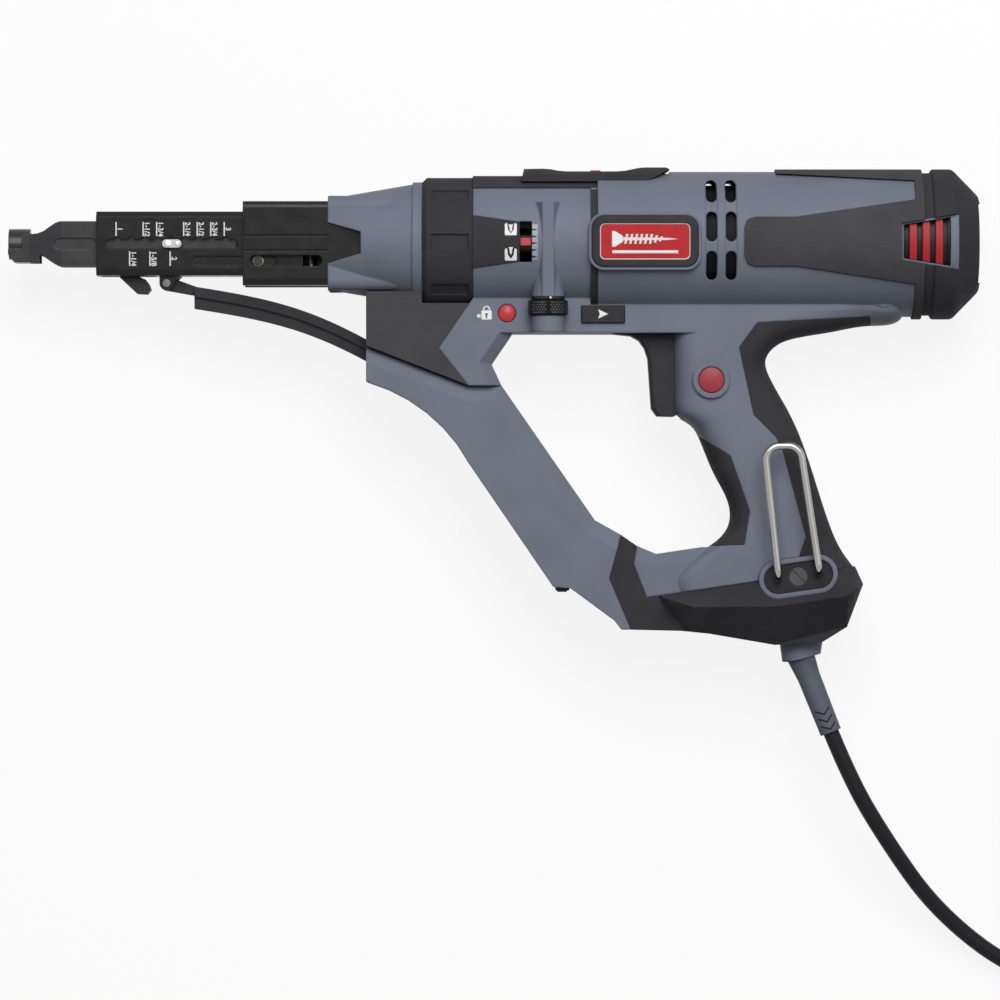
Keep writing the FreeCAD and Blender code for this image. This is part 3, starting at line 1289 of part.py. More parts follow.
def cut_openings(shell, lock_x, lock_y, wheel_x, wheel_foot):
    rear_skin = pipe(SPREAD, MOTOR_BARREL_RADIUS - RUBBER_SEAT, 0, X_REAR + OVERRUN)
    gear_skin = pipe(SPREAD, GEAR_BARREL_RADIUS - RUBBER_SEAT, X_GEAR - OVERRUN, SEAM_WIDTH)
    saddle = cut(
        saddle_form(),
        rod(GEAR_BARREL_RADIUS - RUBBER_SEAT, X_GEAR, 0),
        rod(MOTOR_BARREL_RADIUS - SADDLE_DEPTH, 0, X_REAR),
    )
    above = box(
        -SADDLE_FRONT, SADDLE_LENGTH - SADDLE_FRONT, MOTOR_BARREL_RADIUS - RUBBER_SEAT, SPREAD,
        -SADDLE_HALF_WIDTH, SADDLE_HALF_WIDTH,
    )
    grip_skin = slab(handle(BACK_SHARES)).cut(grip_form(RUBBER_SEAT))
    grip_skin = grip_skin.cut(rod(MOTOR_BARREL_RADIUS, 0, X_REAR))
    pad_skin = slab(handle(PAD_SHARES)).cut(grip_form(RUBBER_SEAT)).cut(cross_form())
    vents = []
    channel_floor = MOTOR_BARREL_RADIUS - VENT_CHANNEL_DEPTH
    channel_half = VENT_WIDTH / 2 + VENT_CHANNEL_LIP
    foot, head = (share * MOTOR_BARREL_RADIUS for share in VENT_CHANNEL_SHARES)
    for column in range(2):
        x = VENT_FIRST + column * VENT_STEP
        ring = pipe(SPREAD, channel_floor, x - channel_half, x + channel_half)
        vents.append(ring.common(box(
            x - VENT_WIDTH, x + VENT_WIDTH, foot, head, -SPREAD, SPREAD
        )))
        for low, high in VENT_ROW_SHARES:
            y0, y1 = low * MOTOR_BARREL_RADIUS, high * MOTOR_BARREL_RADIUS
            vents.append(rounded_block(x, (y0 + y1) / 2, VENT_WIDTH, y1 - y0, VENT_CORNER, -SPREAD, SPREAD))
    slider_top = -SLIDER_TOP + FIT
    shell = cut(
        shell,
        rear_skin.common(rear_rubber_zone()),
        gear_skin.common(front_rubber_zone()),
        saddle,
        above,
        grip_skin,
        pad_skin,
        pipe(SPREAD, MOTOR_BARREL_RADIUS - SEAM_DEPTH, 0, SEAM_WIDTH).common(
            box(0, SEAM_WIDTH, slider_top + FIT, SPREAD, -SPREAD, SPREAD)
        ).cut(fuse(both(badge_form(0, SPREAD, BADGE_RIM)))),
        *vents,
    )
    for side in both(badge_form(0, SPREAD, 0)):
        shell = shell.cut(side.cut(badge_floor()))
    pockets = [
        prism(window_outline(), MOTOR_BORE / 2, SPREAD),
        prism(handle(TRIGGER_POCKET_SHARES), -TRIGGER_HALF_WIDTH - FIT, TRIGGER_HALF_WIDTH + FIT),
        pin(LOCK_RADIUS + FIT, 0, SPREAD, lock_x, lock_y),
        pin(RELEASE_RADIUS + FIT, 0, SPREAD, -RELEASE_PLACE, -RELEASE_DROP),
        box(
            SLIDER_FRONT - FIT, SLIDER_FRONT + SLIDER_LENGTH + FIT,
            slider_top - SLIDER_HEIGHT - 2 * FIT, slider_top, -SPREAD, SPREAD,
        ),
        post(WHEEL_RADIUS + FIT, wheel_foot - BOSS_GAP, BOSS_GAP - WHEEL_TOP, wheel_x, WHEEL_OUT),
        post(
            DEPTH_SCREW_RADIUS + AXLE_FIT, wheel_foot - DEPTH_SCREW_FOOT - FIT, DEPTH_SCREW_TOP + FIT,
            wheel_x, WHEEL_OUT,
        ),
        box(
            -DIAL_WINDOW_FRONT, DIAL_WINDOW_LENGTH - DIAL_WINDOW_FRONT, -DIAL_WINDOW_HALF, DIAL_WINDOW_HALF,
            DIAL_DEPTH - FIT, SPREAD,
        ),
        box(
            -DIAL_WINDOW_FRONT, wheel_x + DIAL_NUT_RADIUS + FIT, -DIAL_WINDOW_HALF, DIAL_WINDOW_HALF,
            WHEEL_OUT - DIAL_NUT_RADIUS - FIT, WHEEL_OUT + DIAL_NUT_RADIUS + FIT,
        ),
    ]
    pockets += [mirrored(pockets[0])] + hook_seats() + hook_holes()
    for x, y in screw_places():
        pockets.append(pin(SCREW_RADIUS, -SPREAD, SCREW_END, x, y))
        pockets.append(pin(SCREW_HEAD_RADIUS + FIT, -SPREAD, -SCREW_SEAT, x, y))
    return cut(shell, *pockets)


def half_of(shape, side):
    cover = box(X_CONE, X_REAR + SPREAD, -HANDLE_DROP - SPREAD, SPREAD, 0, SPREAD)
    return shape.common(cover if side > 0 else mirrored(cover))


def rear_overmould():
    skin = pipe(HALF_WIDTH, MOTOR_BARREL_RADIUS - RUBBER_SEAT, 0, X_REAR)
    body = skin.common(rear_rubber_zone())
    window = prism(window_outline(), MOTOR_BORE / 2, SPREAD)
    return cut(body, window, mirrored(window), slab(handle(BACK_SHARES)).common(box(
        0, X_REAR - REAR_BAND, -SPREAD, -MOTOR_BORE / 2, -SPREAD, SPREAD
    )))


def circles(shape, x, radius):
    """The round edges of a shape that lie about the drive line at x."""
    return [
        e for e in shape.Edges
        if isinstance(e.Curve, Part.Circle) and abs(e.Curve.Radius - radius) < FIT / 10
        and abs(e.Curve.Center.x - x) < FIT / 10
    ]


def rear_cap():
    x0, x1 = X_REAR, X_REAR + CAP_LENGTH
    outer = HALF_WIDTH
    groove = x0 + CAP_GROOVE_WIDTH
    wall = SHELL_WALL + RUBBER_PROUD
    outline = [
        (x0, MOTOR_BORE + FIT), (x0, outer - CAP_GROOVE_DEPTH),
        (groove, outer - CAP_GROOVE_DEPTH), (groove, outer),
        (x1 - CAP_CHAMFER_LENGTH, outer), (x1, outer - CAP_CHAMFER_DEPTH), (x1, 0), (x1 - wall, 0),
        (x1 - wall, outer - CAP_CHAMFER_DEPTH - wall / 2),
        (x1 - CAP_CHAMFER_LENGTH - wall / 2, MOTOR_BORE + FIT),
    ]
    body = Part.Face(polygon(outline)).revolve(V(0, 0, 0), V(1, 0, 0), 360)
    rims = circles(body, x1 - CAP_CHAMFER_LENGTH, outer) + circles(body, x1, outer - CAP_CHAMFER_DEPTH)
    body = body.makeFillet(CAP_ROUND, rims)
    body = body.makeFillet(CAP_LIP_ROUND, circles(body, groove, outer))
    window = prism(window_outline(), MOTOR_BORE / 2, SPREAD)
    recess = box(x1 - CAP_RECESS, x1 + OVERRUN, -CAP_RECESS_HALF, CAP_RECESS_HALF, -SPREAD, SPREAD)
    return cut(body, window, mirrored(window), recess)


def vent_bezels():
    outline = window_outline()
    inner = shifted(outline, [BEZEL_LINE, BEZEL_BAR, BEZEL_LINE, BEZEL_LINE])
    outer = HALF_WIDTH - BEZEL_DROP - RUBBER_PROUD
    front, back = outline[0][0], outline[1][0]
    skin = pipe(outer, outer - BEZEL_DEPTH, front - OVERRUN, back + OVERRUN)
    frame = prism(outline, MOTOR_BORE / 2, SPREAD).cut(prism(inner, 0, SPREAD + OVERRUN))
    side = skin.common(frame)
    return Part.makeCompound(both(side))


def vent_grille():
    front = X_REAR - WINDOW_BACK
    outer = MOTOR_BORE - FIT
    back = X_REAR + WINDOW_AHEAD - BEZEL_BAR
    ring = pipe(outer - GRILLE_FIN_HEIGHT + GRILLE_WALL, outer - GRILLE_FIN_HEIGHT, front, back)
    inner = shifted(window_outline(), [BEZEL_LINE + FIT] * 4)
    opening = prism(inner, 0, SPREAD)
    opening = fuse(both(opening))
    parts = [ring]
    for i in range(3):
        x = front + GRILLE_FIN_FIRST + i * GRILLE_FIN_STEP
        fin = pipe(outer + BEZEL_DEPTH / 2, outer - GRILLE_FIN_HEIGHT, x, x + GRILLE_FIN)
        parts.append(fin.common(opening))
    for x in (front, back - GRILLE_WALL):
        parts.append(pipe(outer, outer - GRILLE_FIN_HEIGHT, x, x + GRILLE_WALL))
    return fuse(parts)


def badge_frames():
    frame = badge_form(0, HALF_WIDTH, 0)
    top = [
        e for e in frame.Edges
        if abs(e.BoundBox.ZMin - HALF_WIDTH) < FIT / 10 and e.BoundBox.ZLength < FIT / 10
    ]
    frame = frame.makeFillet(BADGE_EDGE, top).cut(badge_floor())
    pocket = rounded_block(
        BADGE_MIDDLE, 0, LABEL_LENGTH, LABEL_HEIGHT, LABEL_CORNER, HALF_WIDTH - LABEL_DEPTH, SPREAD
    )
    return Part.makeCompound(both(frame.cut(pocket)))


def badge_plates():
    plate = rounded_block(
        BADGE_MIDDLE, 0, LABEL_LENGTH, LABEL_HEIGHT, LABEL_CORNER,
        HALF_WIDTH - LABEL_DEPTH, HALF_WIDTH - LABEL_DROP,
    )
    return Part.makeCompound(both(plate))


def grip_overmould():
    skin = grip_form(0).cut(grip_form(RUBBER_SEAT))
    body = skin.common(slab(handle(BACK_SHARES)))
    body = cut(
        body, rod(MOTOR_BARREL_RADIUS, 0, X_REAR), base_zone(), *hook_seats(), *hook_holes(),
    )
    return biggest(body)


def grip_pad():
    skin = grip_form(0).cut(grip_form(RUBBER_SEAT))
    return biggest(cut(skin.common(slab(handle(PAD_SHARES))), cross_form(), base_zone()))


def biggest(shape):
    """The main solid of a shape, without slivers that a cut left over."""
    return max(shape.Solids, key=lambda solid: solid.Volume)


def base_guard():
    core = prism(handle(BASE_SHARES), -BASE_HALF_WIDTH, BASE_HALF_WIDTH)
    side = Part.makeLoft(
        [
            polygon(handle(FOOT_SHARES), BASE_HALF_WIDTH - FIT),
            polygon(handle(RIDGE_SHARES), BASE_RIDGE_HALF),
        ],
        True, True,
    )
    half = BASE_HALF_WIDTH - BASE_WALL
    hollow = prism(handle(BASE_HOLLOW_SHARES), -half, half)
    relief_x, relief_y = at(RELIEF_SHARE)
    channel = post(CORD_RADIUS + FIT, relief_y - OVERRUN, relief_y + RELIEF_HEIGHT, relief_x, 0)
    return cut(
        fuse([core] + both(side)), hollow, channel,
        *hook_seats(), *hook_holes(),
    )


def arm_half(side):
    outline = arm_outline()
    count = len(outline)
    body = bevelled(outline, ARM_HALF_WIDTH, ARM_BEVEL, ARM_BEVEL_DEPTH, (0, 1, 2, 3))
    walls = [ARM_WALL] * count
    walls[0] = -OVERRUN
    walls[8] = -OVERRUN
    walls[count - 1] = -OVERRUN
    half = ARM_HALF_WIDTH - ARM_WALL - ARM_BEVEL_DEPTH / 2
    hollow = prism(shifted(outline, walls), -half, half)
    body = cut(body, hollow)
    cover = box(X_CONE, X_REAR + SPREAD, -HANDLE_DROP - SPREAD, SPREAD, 0, SPREAD)
    return body.common(cover if side > 0 else mirrored(cover))


def bracket_channel():
    outline = handle(BRACKET_SHARES)
    walls = [SHELL_WALL, SHELL_WALL, SHELL_WALL, SHELL_WALL, -OVERRUN, -OVERRUN]
    half = HANDLE_HALF_WIDTH - SHELL_WALL
    body = prism(outline, -HANDLE_HALF_WIDTH, HANDLE_HALF_WIDTH)
    body = body.cut(prism(shifted(outline, walls), -half, half))
    step = box(X_COLLAR, X_GEAR, -COLLAR_SHOW, SPREAD, -SPREAD, SPREAD)
    return cut(body, nose_cone_form(), collar_form(), step, rod(GEAR_BARREL_RADIUS, X_GEAR, 0))


# Controls
def trigger():
    body = prism(handle(TRIGGER_SHARES), -TRIGGER_HALF_WIDTH, TRIGGER_HALF_WIDTH)
    right, top = at(TRIGGER_ROUND_SHARE)
    front = [
        e for e in body.Edges
        if e.BoundBox.ZLength < FIT / 10 and e.BoundBox.XMax < right and e.BoundBox.YMax < top
    ]
    body = body.makeFillet(TRIGGER_STEM_HALF / 2, front)
    return fuse([body, prism(handle(TRIGGER_STEM_SHARES), -TRIGGER_STEM_HALF, TRIGGER_STEM_HALF)])


def switch_module():
    return prism(handle(SWITCH_SHARES), -SWITCH_HALF_WIDTH, SWITCH_HALF_WIDTH)


def domed(radius, dome, z0, z1, x, y):
    """A round button whose face is a shallow dome."""
    face = z1 - dome
    sphere = (radius * radius + dome * dome) / (2 * dome)
    cap = Part.makeSphere(sphere, V(x, y, z1 - sphere)).common(pin(radius, face, z1 + dome, x, y))
    return fuse([pin(radius, z0, face, x, y), cap])


def lock_button():
    x, y = at(LOCK_SHARE)
    top = GRIP_HALF_WIDTH + LOCK_RING_RISE + LOCK_RISE
    return domed(LOCK_RADIUS, LOCK_DOME, GRIP_HALF_WIDTH - LOCK_DEPTH, top, x, y)


def release_button():
    top = HANDLE_HALF_WIDTH + RELEASE_RISE
    return domed(
        RELEASE_RADIUS, RELEASE_DOME, HANDLE_HALF_WIDTH - RELEASE_DEPTH, top, -RELEASE_PLACE, -RELEASE_DROP
    )


def direction_slider():
    half = HANDLE_HALF_WIDTH + SLIDER_RISE
    back = SLIDER_FRONT + SLIDER_LENGTH
    return box(SLIDER_FRONT, back, -SLIDER_TOP - SLIDER_HEIGHT, -SLIDER_TOP, -half, half)


def depth_wheel():
    x = -WHEEL_PLACE
    foot = -WHEEL_TOP - WHEEL_HEIGHT
    wheel = post(WHEEL_RADIUS, foot, -WHEEL_TOP, x, WHEEL_OUT)
    edges = [e for e in wheel.Edges if e.Curve.TypeId == "Part::GeomCircle"]
    wheel = wheel.makeFillet(WHEEL_GROOVE, edges)
    for i in range(WHEEL_GROOVES):
        a = 2 * math.pi * (i + 0.5) / WHEEL_GROOVES
        gx, gz = x + WHEEL_RADIUS * math.cos(a), WHEEL_OUT + WHEEL_RADIUS * math.sin(a)
        wheel = wheel.cut(post(WHEEL_GROOVE, foot - OVERRUN, OVERRUN - WHEEL_TOP, gx, gz))
    return fuse([wheel, post(DEPTH_SCREW_RADIUS, foot - DEPTH_SCREW_FOOT, DEPTH_SCREW_TOP, x, WHEEL_OUT)])


def depth_indicator():
    x = -WHEEL_PLACE
    mark_x = DIAL_WINDOW_LENGTH - DIAL_WINDOW_FRONT - FIT
    top = math.sqrt(GEAR_BARREL_RADIUS ** 2 - DIAL_WINDOW_HALF ** 2) - DIAL_MARK_DROP
    nut = post(DIAL_NUT_RADIUS, -DIAL_NUT_HALF, DIAL_NUT_HALF, x, WHEEL_OUT)
    arm = box(mark_x - DIAL_ARM, x, -DIAL_MARK_HALF, DIAL_MARK_HALF, DIAL_DEPTH, DIAL_DEPTH + DIAL_ARM)
    mark = box(FIT - DIAL_WINDOW_FRONT, mark_x, -DIAL_MARK_HALF, DIAL_MARK_HALF, DIAL_DEPTH, top)
    bore = post(DEPTH_SCREW_RADIUS + AXLE_FIT, -SPREAD, SPREAD, x, WHEEL_OUT)
    return fuse([nut, arm, mark]).cut(bore)


# Gearbox
def case_outline(grow, x0, x1):
    lower = rod(CASE_LOWER_RADIUS + grow, x0, x1)
    upper = rod(CASE_UPPER_RADIUS + grow, x0, x1, GEAR_CENTRES)
    half = CASE_UPPER_RADIUS + grow
    plate = fuse([lower, upper, box(x0, x1, 0, GEAR_CENTRES, -half, half)])
    return plate.common(rod(GEAR_BORE - FIT, x0, x1))


def gear_case():
    front = X_GEAR
    back = -PLATE_THICKNESS
    wall_front = front + CASE_FLANGE
    flange = rod(GEAR_BORE - FIT, front, wall_front)
    outer = case_outline(0, front, back)
    hollow = case_outline(-CASE_WALL, wall_front + BEARING_WIDTH, back + OVERRUN)
    partition = SECOND_MESH + GEAR_WIDTH + PINION_OVERLAP * 2
    wall = case_outline(-CASE_WALL / 2, partition, partition + CASE_WALL * 2)
    seat = rod(SPINDLE_BEARING_RADIUS, wall_front, wall_front + BEARING_WIDTH + OVERRUN / 2)
    lay_seat = rod(LAYSHAFT_RADIUS + AXLE_FIT, wall_front, partition + OVERRUN, GEAR_CENTRES)
    shell = fuse([flange, outer])
    shell = fuse([shell.cut(hollow), wall])
    return cut(shell, seat, rod(SPINDLE_RADIUS + AXLE_FIT, X_GEAR - OVERRUN, partition + OVERRUN), lay_seat)


def gear_plate():
    disc = rod(GEAR_BORE - FIT, -PLATE_THICKNESS, 0)
    hub = rod(MOTOR_BEARING_RADIUS + CASE_WALL, -FIT, BEARING_WIDTH)
    return cut(
        fuse([disc, hub]),
        rod(MOTOR_BEARING_RADIUS, 0, BEARING_WIDTH + OVERRUN),
        rod(SHAFT_RADIUS + FIT, -SPREAD, OVERRUN),
        rod(LAYSHAFT_RADIUS + AXLE_FIT, -SPREAD, -PLATE_THICKNESS / 2, GEAR_CENTRES),
    )


def spindle():
    """The output shaft with the bit holder on its front."""
    back = SPINDLE_FRONT + HOLDER_GRIP
    front = back - HOLDER_LENGTH
    holder = rod(HOLDER_RADIUS, front, back - GUIDE_BACK_GAP)
    body = fuse([holder, rod(SPINDLE_RADIUS, SPINDLE_FRONT, SPINDLE_BACK)])
    return body.cut(rod(BIT_RADIUS + BIT_GAP, front - OVERRUN, SPINDLE_FRONT))


def drive_bit():
    shank = rod(BIT_RADIUS, BIT_TIP + BIT_POINT, SPINDLE_FRONT - BIT_GAP)
    point = Part.makeCone(BIT_POINT_RADIUS, BIT_RADIUS, BIT_POINT, V(BIT_TIP, 0, 0), V(1, 0, 0))
    return fuse([point, shank])


def spindle_gear():
    return gear(SPINDLE_TEETH, SECOND_MESH, SECOND_MESH + GEAR_WIDTH, 0, SPINDLE_RADIUS, False)


def layshaft():
    """The second shaft with its pinion cut on it."""
    front = X_GEAR + CASE_FLANGE + BEARING_WIDTH / 2
    width = GEAR_WIDTH + 2 * PINION_OVERLAP
    start = SECOND_MESH - PINION_OVERLAP
    pinion = gear(LAY_PINION_TEETH, start, start + width, GEAR_CENTRES, 0, True)
    return fuse([rod(LAYSHAFT_RADIUS, front, -PLATE_THICKNESS / 2 - FIT, GEAR_CENTRES), pinion])


def layshaft_gear():
    return gear(LAY_GEAR_TEETH, FIRST_MESH, FIRST_MESH + GEAR_WIDTH, GEAR_CENTRES, LAYSHAFT_RADIUS, True)


# Motor
def motor_shaft():
    pinion_end = FIRST_MESH + GEAR_WIDTH + PINION_OVERLAP
    pinion = gear(MOTOR_TEETH, FIRST_MESH - PINION_OVERLAP, pinion_end, 0, 0, False)
    return fuse([pinion, rod(SHAFT_RADIUS, FIRST_MESH + GEAR_WIDTH + PINION_OVERLAP, SHAFT_BACK)])


def ball_bearings():
    seats = (
        (MOTOR_BEARING_RADIUS, SHAFT_RADIUS, 0),
        (MOTOR_BEARING_RADIUS, SHAFT_RADIUS, REAR_BEARING),
        (SPINDLE_BEARING_RADIUS, SPINDLE_RADIUS, X_GEAR + CASE_FLANGE),
    )
    return Part.makeCompound(
        [pipe(outer, inner + BEARING_FIT, x, x + BEARING_WIDTH) for outer, inner, x in seats]
    )


def cooling_fan():
    disc = rod(FAN_RADIUS, FAN_FRONT, FAN_FRONT + FAN_DISC)
    hub = rod(MOTOR_BEARING_RADIUS, FAN_FRONT, FAN_FRONT + FAN_LENGTH)
    parts = [disc, hub]
    for i in range(FAN_BLADES):
        blade = box(
            FAN_FRONT, FAN_FRONT + FAN_LENGTH, MOTOR_BEARING_RADIUS - FIT, FAN_RADIUS - FAN_BLADE,
            0, FAN_BLADE,
        )
        blade.rotate(V(0, 0, 0), V(1, 0, 0), 360 * i / FAN_BLADES)
        parts.append(blade)
    return fuse(parts).cut(rod(SHAFT_RADIUS, FAN_FRONT - OVERRUN, FAN_FRONT + FAN_LENGTH + OVERRUN))


def field_core():
    ring = pipe(MOTOR_BORE - FIT, FIELD_BORE, FIELD_FRONT, FIELD_FRONT + FIELD_LENGTH)
    return ring.common(box(0, X_REAR, -FIELD_HALF_HEIGHT, FIELD_HALF_HEIGHT, -SPREAD, SPREAD))


def armature_core():
    core = pipe(ARMATURE_RADIUS, SHAFT_RADIUS, FIELD_FRONT, FIELD_FRONT + FIELD_LENGTH)
    for i in range(ARMATURE_SLOTS):
        slot = box(
            FIELD_FRONT - OVERRUN, FIELD_FRONT + FIELD_LENGTH + OVERRUN,
            ARMATURE_RADIUS - ARMATURE_SLOT_DEPTH, SPREAD,
            -ARMATURE_SLOT / 2, ARMATURE_SLOT / 2,
        )
        slot.rotate(V(0, 0, 0), V(1, 0, 0), 360 * i / ARMATURE_SLOTS)
        core = core.cut(slot)
    return core


def commutator():
    return pipe(COMMUTATOR_RADIUS, SHAFT_RADIUS, COMMUTATOR_FRONT, COMMUTATOR_FRONT + COMMUTATOR_LENGTH)


def brush_form(grow, z0, z1):
    x = COMMUTATOR_FRONT + COMMUTATOR_LENGTH / 2
    half = BRUSH_LENGTH / 2 + grow
    return box(x - half, x + half, -BRUSH_HALF_HEIGHT - grow, BRUSH_HALF_HEIGHT + grow, z0, z1)


def brush_holders():
    outer = math.sqrt((MOTOR_BORE - FIT) ** 2 - (BRUSH_HALF_HEIGHT + HOLDER_WALL) ** 2)
    side = brush_form(HOLDER_WALL, COMMUTATOR_RADIUS + HOLDER_WALL, outer).cut(brush_form(0, 0, BRUSH_OUT))
    return Part.makeCompound(both(side))


def carbon_brushes():
    side = brush_form(0, 0, BRUSH_OUT).cut(rod(COMMUTATOR_RADIUS + FIT, 0, X_REAR))
    return Part.makeCompound(both(side))


# Fastenings and hook
def housing_screws():
    screws = []
    for x, y in screw_places():
        head = pin(SCREW_HEAD_RADIUS, -SCREW_SEAT - SCREW_HEAD, -SCREW_SEAT, x, y)
        cross = box(
            x - SCREW_HEAD_RADIUS, x + SCREW_HEAD_RADIUS, y - HOOK_SCREW_SLOT / 2, y + HOOK_SCREW_SLOT / 2,
            -SCREW_SEAT - SCREW_HEAD - FIT, -SCREW_SEAT - SCREW_HEAD / 2,
        )
        screws.append(fuse([head.cut(cross), pin(SCREW_RADIUS, -SCREW_SEAT, SCREW_END, x, y)]))
    return Part.makeCompound(screws)


def hook_feet():
    x, y = hook_place()
    tilt = math.radians(HOOK_TILT)
    reach = HOOK_SPREAD / 2
    return [(x + side * reach * math.cos(tilt), y + side * reach * math.sin(tilt)) for side in (-1, 1)]


def hook_bezel():
    length, width = HOOK_PLATE_LENGTH, HOOK_PLATE_WIDTH
    block = hook_form(length, width, HOOK_FLOOR, HOOK_BEZEL_TOP)
    well = hook_form(length - 2 * HOOK_BEZEL, width - 2 * HOOK_BEZEL, HOOK_FLOOR + HOOK_BEZEL_FLOOR, SPREAD)
    return cut(block, well, pin(HOOK_SCREW_RADIUS, 0, SPREAD, *hook_place()))


def hook_mount():
    length, width = HOOK_PLATE_LENGTH - 2 * HOOK_BEZEL, HOOK_PLATE_WIDTH - 2 * HOOK_BEZEL
    block = hook_form(length, width, HOOK_FLOOR + HOOK_BEZEL_FLOOR, HOOK_PLATE_TOP)
    holes = [pin(HOOK_WIRE / 2, 0, SPREAD, x, y) for x, y in hook_feet()]
    seat = pin(HOOK_SCREW_HEAD_RADIUS, HOOK_PLATE_TOP - HOOK_SCREW_HEAD, SPREAD, *hook_place())
    return cut(block, seat, pin(HOOK_SCREW_RADIUS, 0, SPREAD, *hook_place()), *holes)


def hook_screw():
    x, y = hook_place()
    head = pin(HOOK_SCREW_HEAD_RADIUS, HOOK_PLATE_TOP - HOOK_SCREW_HEAD, HOOK_PLATE_TOP, x, y)
    slot = box(
        x - SPREAD, x + SPREAD, y - HOOK_SCREW_SLOT / 2, y + HOOK_SCREW_SLOT / 2,
        HOOK_PLATE_TOP - HOOK_SCREW_HEAD / 2, SPREAD,
    )
    slot.rotate(V(x, y, 0), V(0, 0, 1), -45)
    shank = pin(HOOK_SCREW_RADIUS, HOOK_SCREW_END, HOOK_PLATE_TOP - HOOK_SCREW_HEAD, x, y)
    return fuse([head.cut(slot), shank])


def belt_hook():
    near, far = hook_feet()
    top_near, top_far = handle(HOOK_RUN_SHARES)
    low = HOOK_FLOOR + HOOK_BEZEL_FLOOR
    points = [
        V(*near, low), V(*near, HOOK_STAND), V(*top_near, HOOK_STAND),
        V(*top_far, HOOK_STAND), V(*far, HOOK_STAND), V(*far, low),
    ]
    return tube(rounded_path(points, [HOOK_BEND, HOOK_TOP_BEND, HOOK_TOP_BEND, HOOK_BEND]), HOOK_WIRE / 2)


# Cord
def boot_heading():
    lean = math.radians(BOOT_LEAN)
    return V(math.sin(lean), -math.cos(lean), 0)


def boot_root():
    x, y = at(BOOT_SHARE)
    return V(x, y, 0) + boot_heading() * BOOT_ROOT_DEPTH


def strain_relief():
    x, y = at(RELIEF_SHARE)
    bottom = at(BASE_SHARES[9])[1]
    collar = Part.makeCone(RELIEF_RADIUS, RELIEF_END_RADIUS, RELIEF_HEIGHT, V(x, bottom, 0), V(0, -1, 0))
    slant = box(-SPREAD, SPREAD, -SPREAD, 0, -SPREAD, SPREAD)
    slant.rotate(V(0, 0, 0), V(0, 0, 1), RELIEF_TILT)
    slant.translate(V(x, bottom - RELIEF_MIDDLE, 0))
    heading = boot_heading()
    root = boot_root()
    waist = root + heading * BOOT_FLARE
    tip = root + heading * BOOT_LENGTH
    boot = Part.makeCone(BOOT_RADIUS, BOOT_WAIST_RADIUS, BOOT_FLARE, root, heading)
    end = Part.makeCone(BOOT_WAIST_RADIUS, BOOT_TIP_RADIUS, BOOT_LENGTH - BOOT_FLARE, waist, heading)
    body = fuse([collar.cut(slant), boot, end])
    foot = tip - heading * BOOT_SOCKET
    body = cut(body, Part.makeCylinder(CORD_RADIUS + CORD_GAP, BOOT_SOCKET + OVERRUN, foot, heading))
    return cut(body, base_zone())


def coil_plan(height):
    """Places and headings of the coil: it winds in on the lower layer and out on the upper one."""
    places, headings = [], []
    quarters = int(4 * COIL_TURNS)
    steps = 2 * quarters + 2
    middle = quarters + 1
    for i in range(steps + 1):
        inner = abs(i - middle)
        radius = COIL_RADIUS - COIL_PITCH * (middle - inner) / 4
        layer = min(1, max(0, (i - quarters) / 2))
        a = math.pi * i / 2 - math.pi / 2
        slope = 0 if inner == 0 else math.copysign(COIL_PITCH / (2 * math.pi), i - middle)
        climb = COIL_RISE / math.pi if i == middle else 0
        centre = V(*COIL_CENTRE, 0)
        places.append(centre + V(radius * math.cos(a), radius * math.sin(a), height + COIL_RISE * layer))
        headings.append(
            V(
                slope * math.cos(a) - radius * math.sin(a),
                slope * math.sin(a) + radius * math.cos(a),
                climb,
            ).normalize()
        )
    return places, headings


def floor_height():
    return CORD_RADIUS - HALF_WIDTH + COIL_RAISE + FIT / 2


def coil_path():
    places, headings = coil_plan(floor_height())
    lead_in = places[0] - headings[0] * COIL_LEAD
    lead_out = places[-1] + headings[-1] * PLUG_LEAD
    edges = [Part.makeLine(lead_in, places[0])] + biarcs(places, headings)
    edges.append(Part.makeLine(places[-1], lead_out))
    return Part.Wire(edges), lead_in, headings[0], lead_out, headings[-1]


def cord_coil():
    path = coil_path()[0]
    inner = COIL_RADIUS - COIL_PITCH * COIL_TURNS - COIL_PITCH / 4
    print("cord coil gap", round(own_gap(path, CORD_RADIUS, 2 * math.pi * inner), 2))
    print("coil length", round(path.Length, 1))
    return tube(path, CORD_RADIUS)


def cord_path():
    heading = boot_heading()
    start = boot_root() + heading * (BOOT_LENGTH - BOOT_SOCKET + CORD_GAP)
    _, end, lead, _, _ = coil_path()
    points = [start] + [V(*point) for point in CORD_POINTS] + [end - lead * CORD_GAP]
    radii = []
    for before, here, after in zip(points, points[1:], points[2:]):
        turn = (here - before).getAngle(after - here)
        shorter = min((here - before).Length, (after - here).Length)
        radii.append(0.45 * shorter / math.tan(turn / 2))
    print("cord bend radii", [round(radius, 1) for radius in radii])
    return rounded_path(points, radii)


def power_cord():
    path = cord_path()
    print("free cord length", round(path.Length, 1))
    return tube(path, CORD_RADIUS)


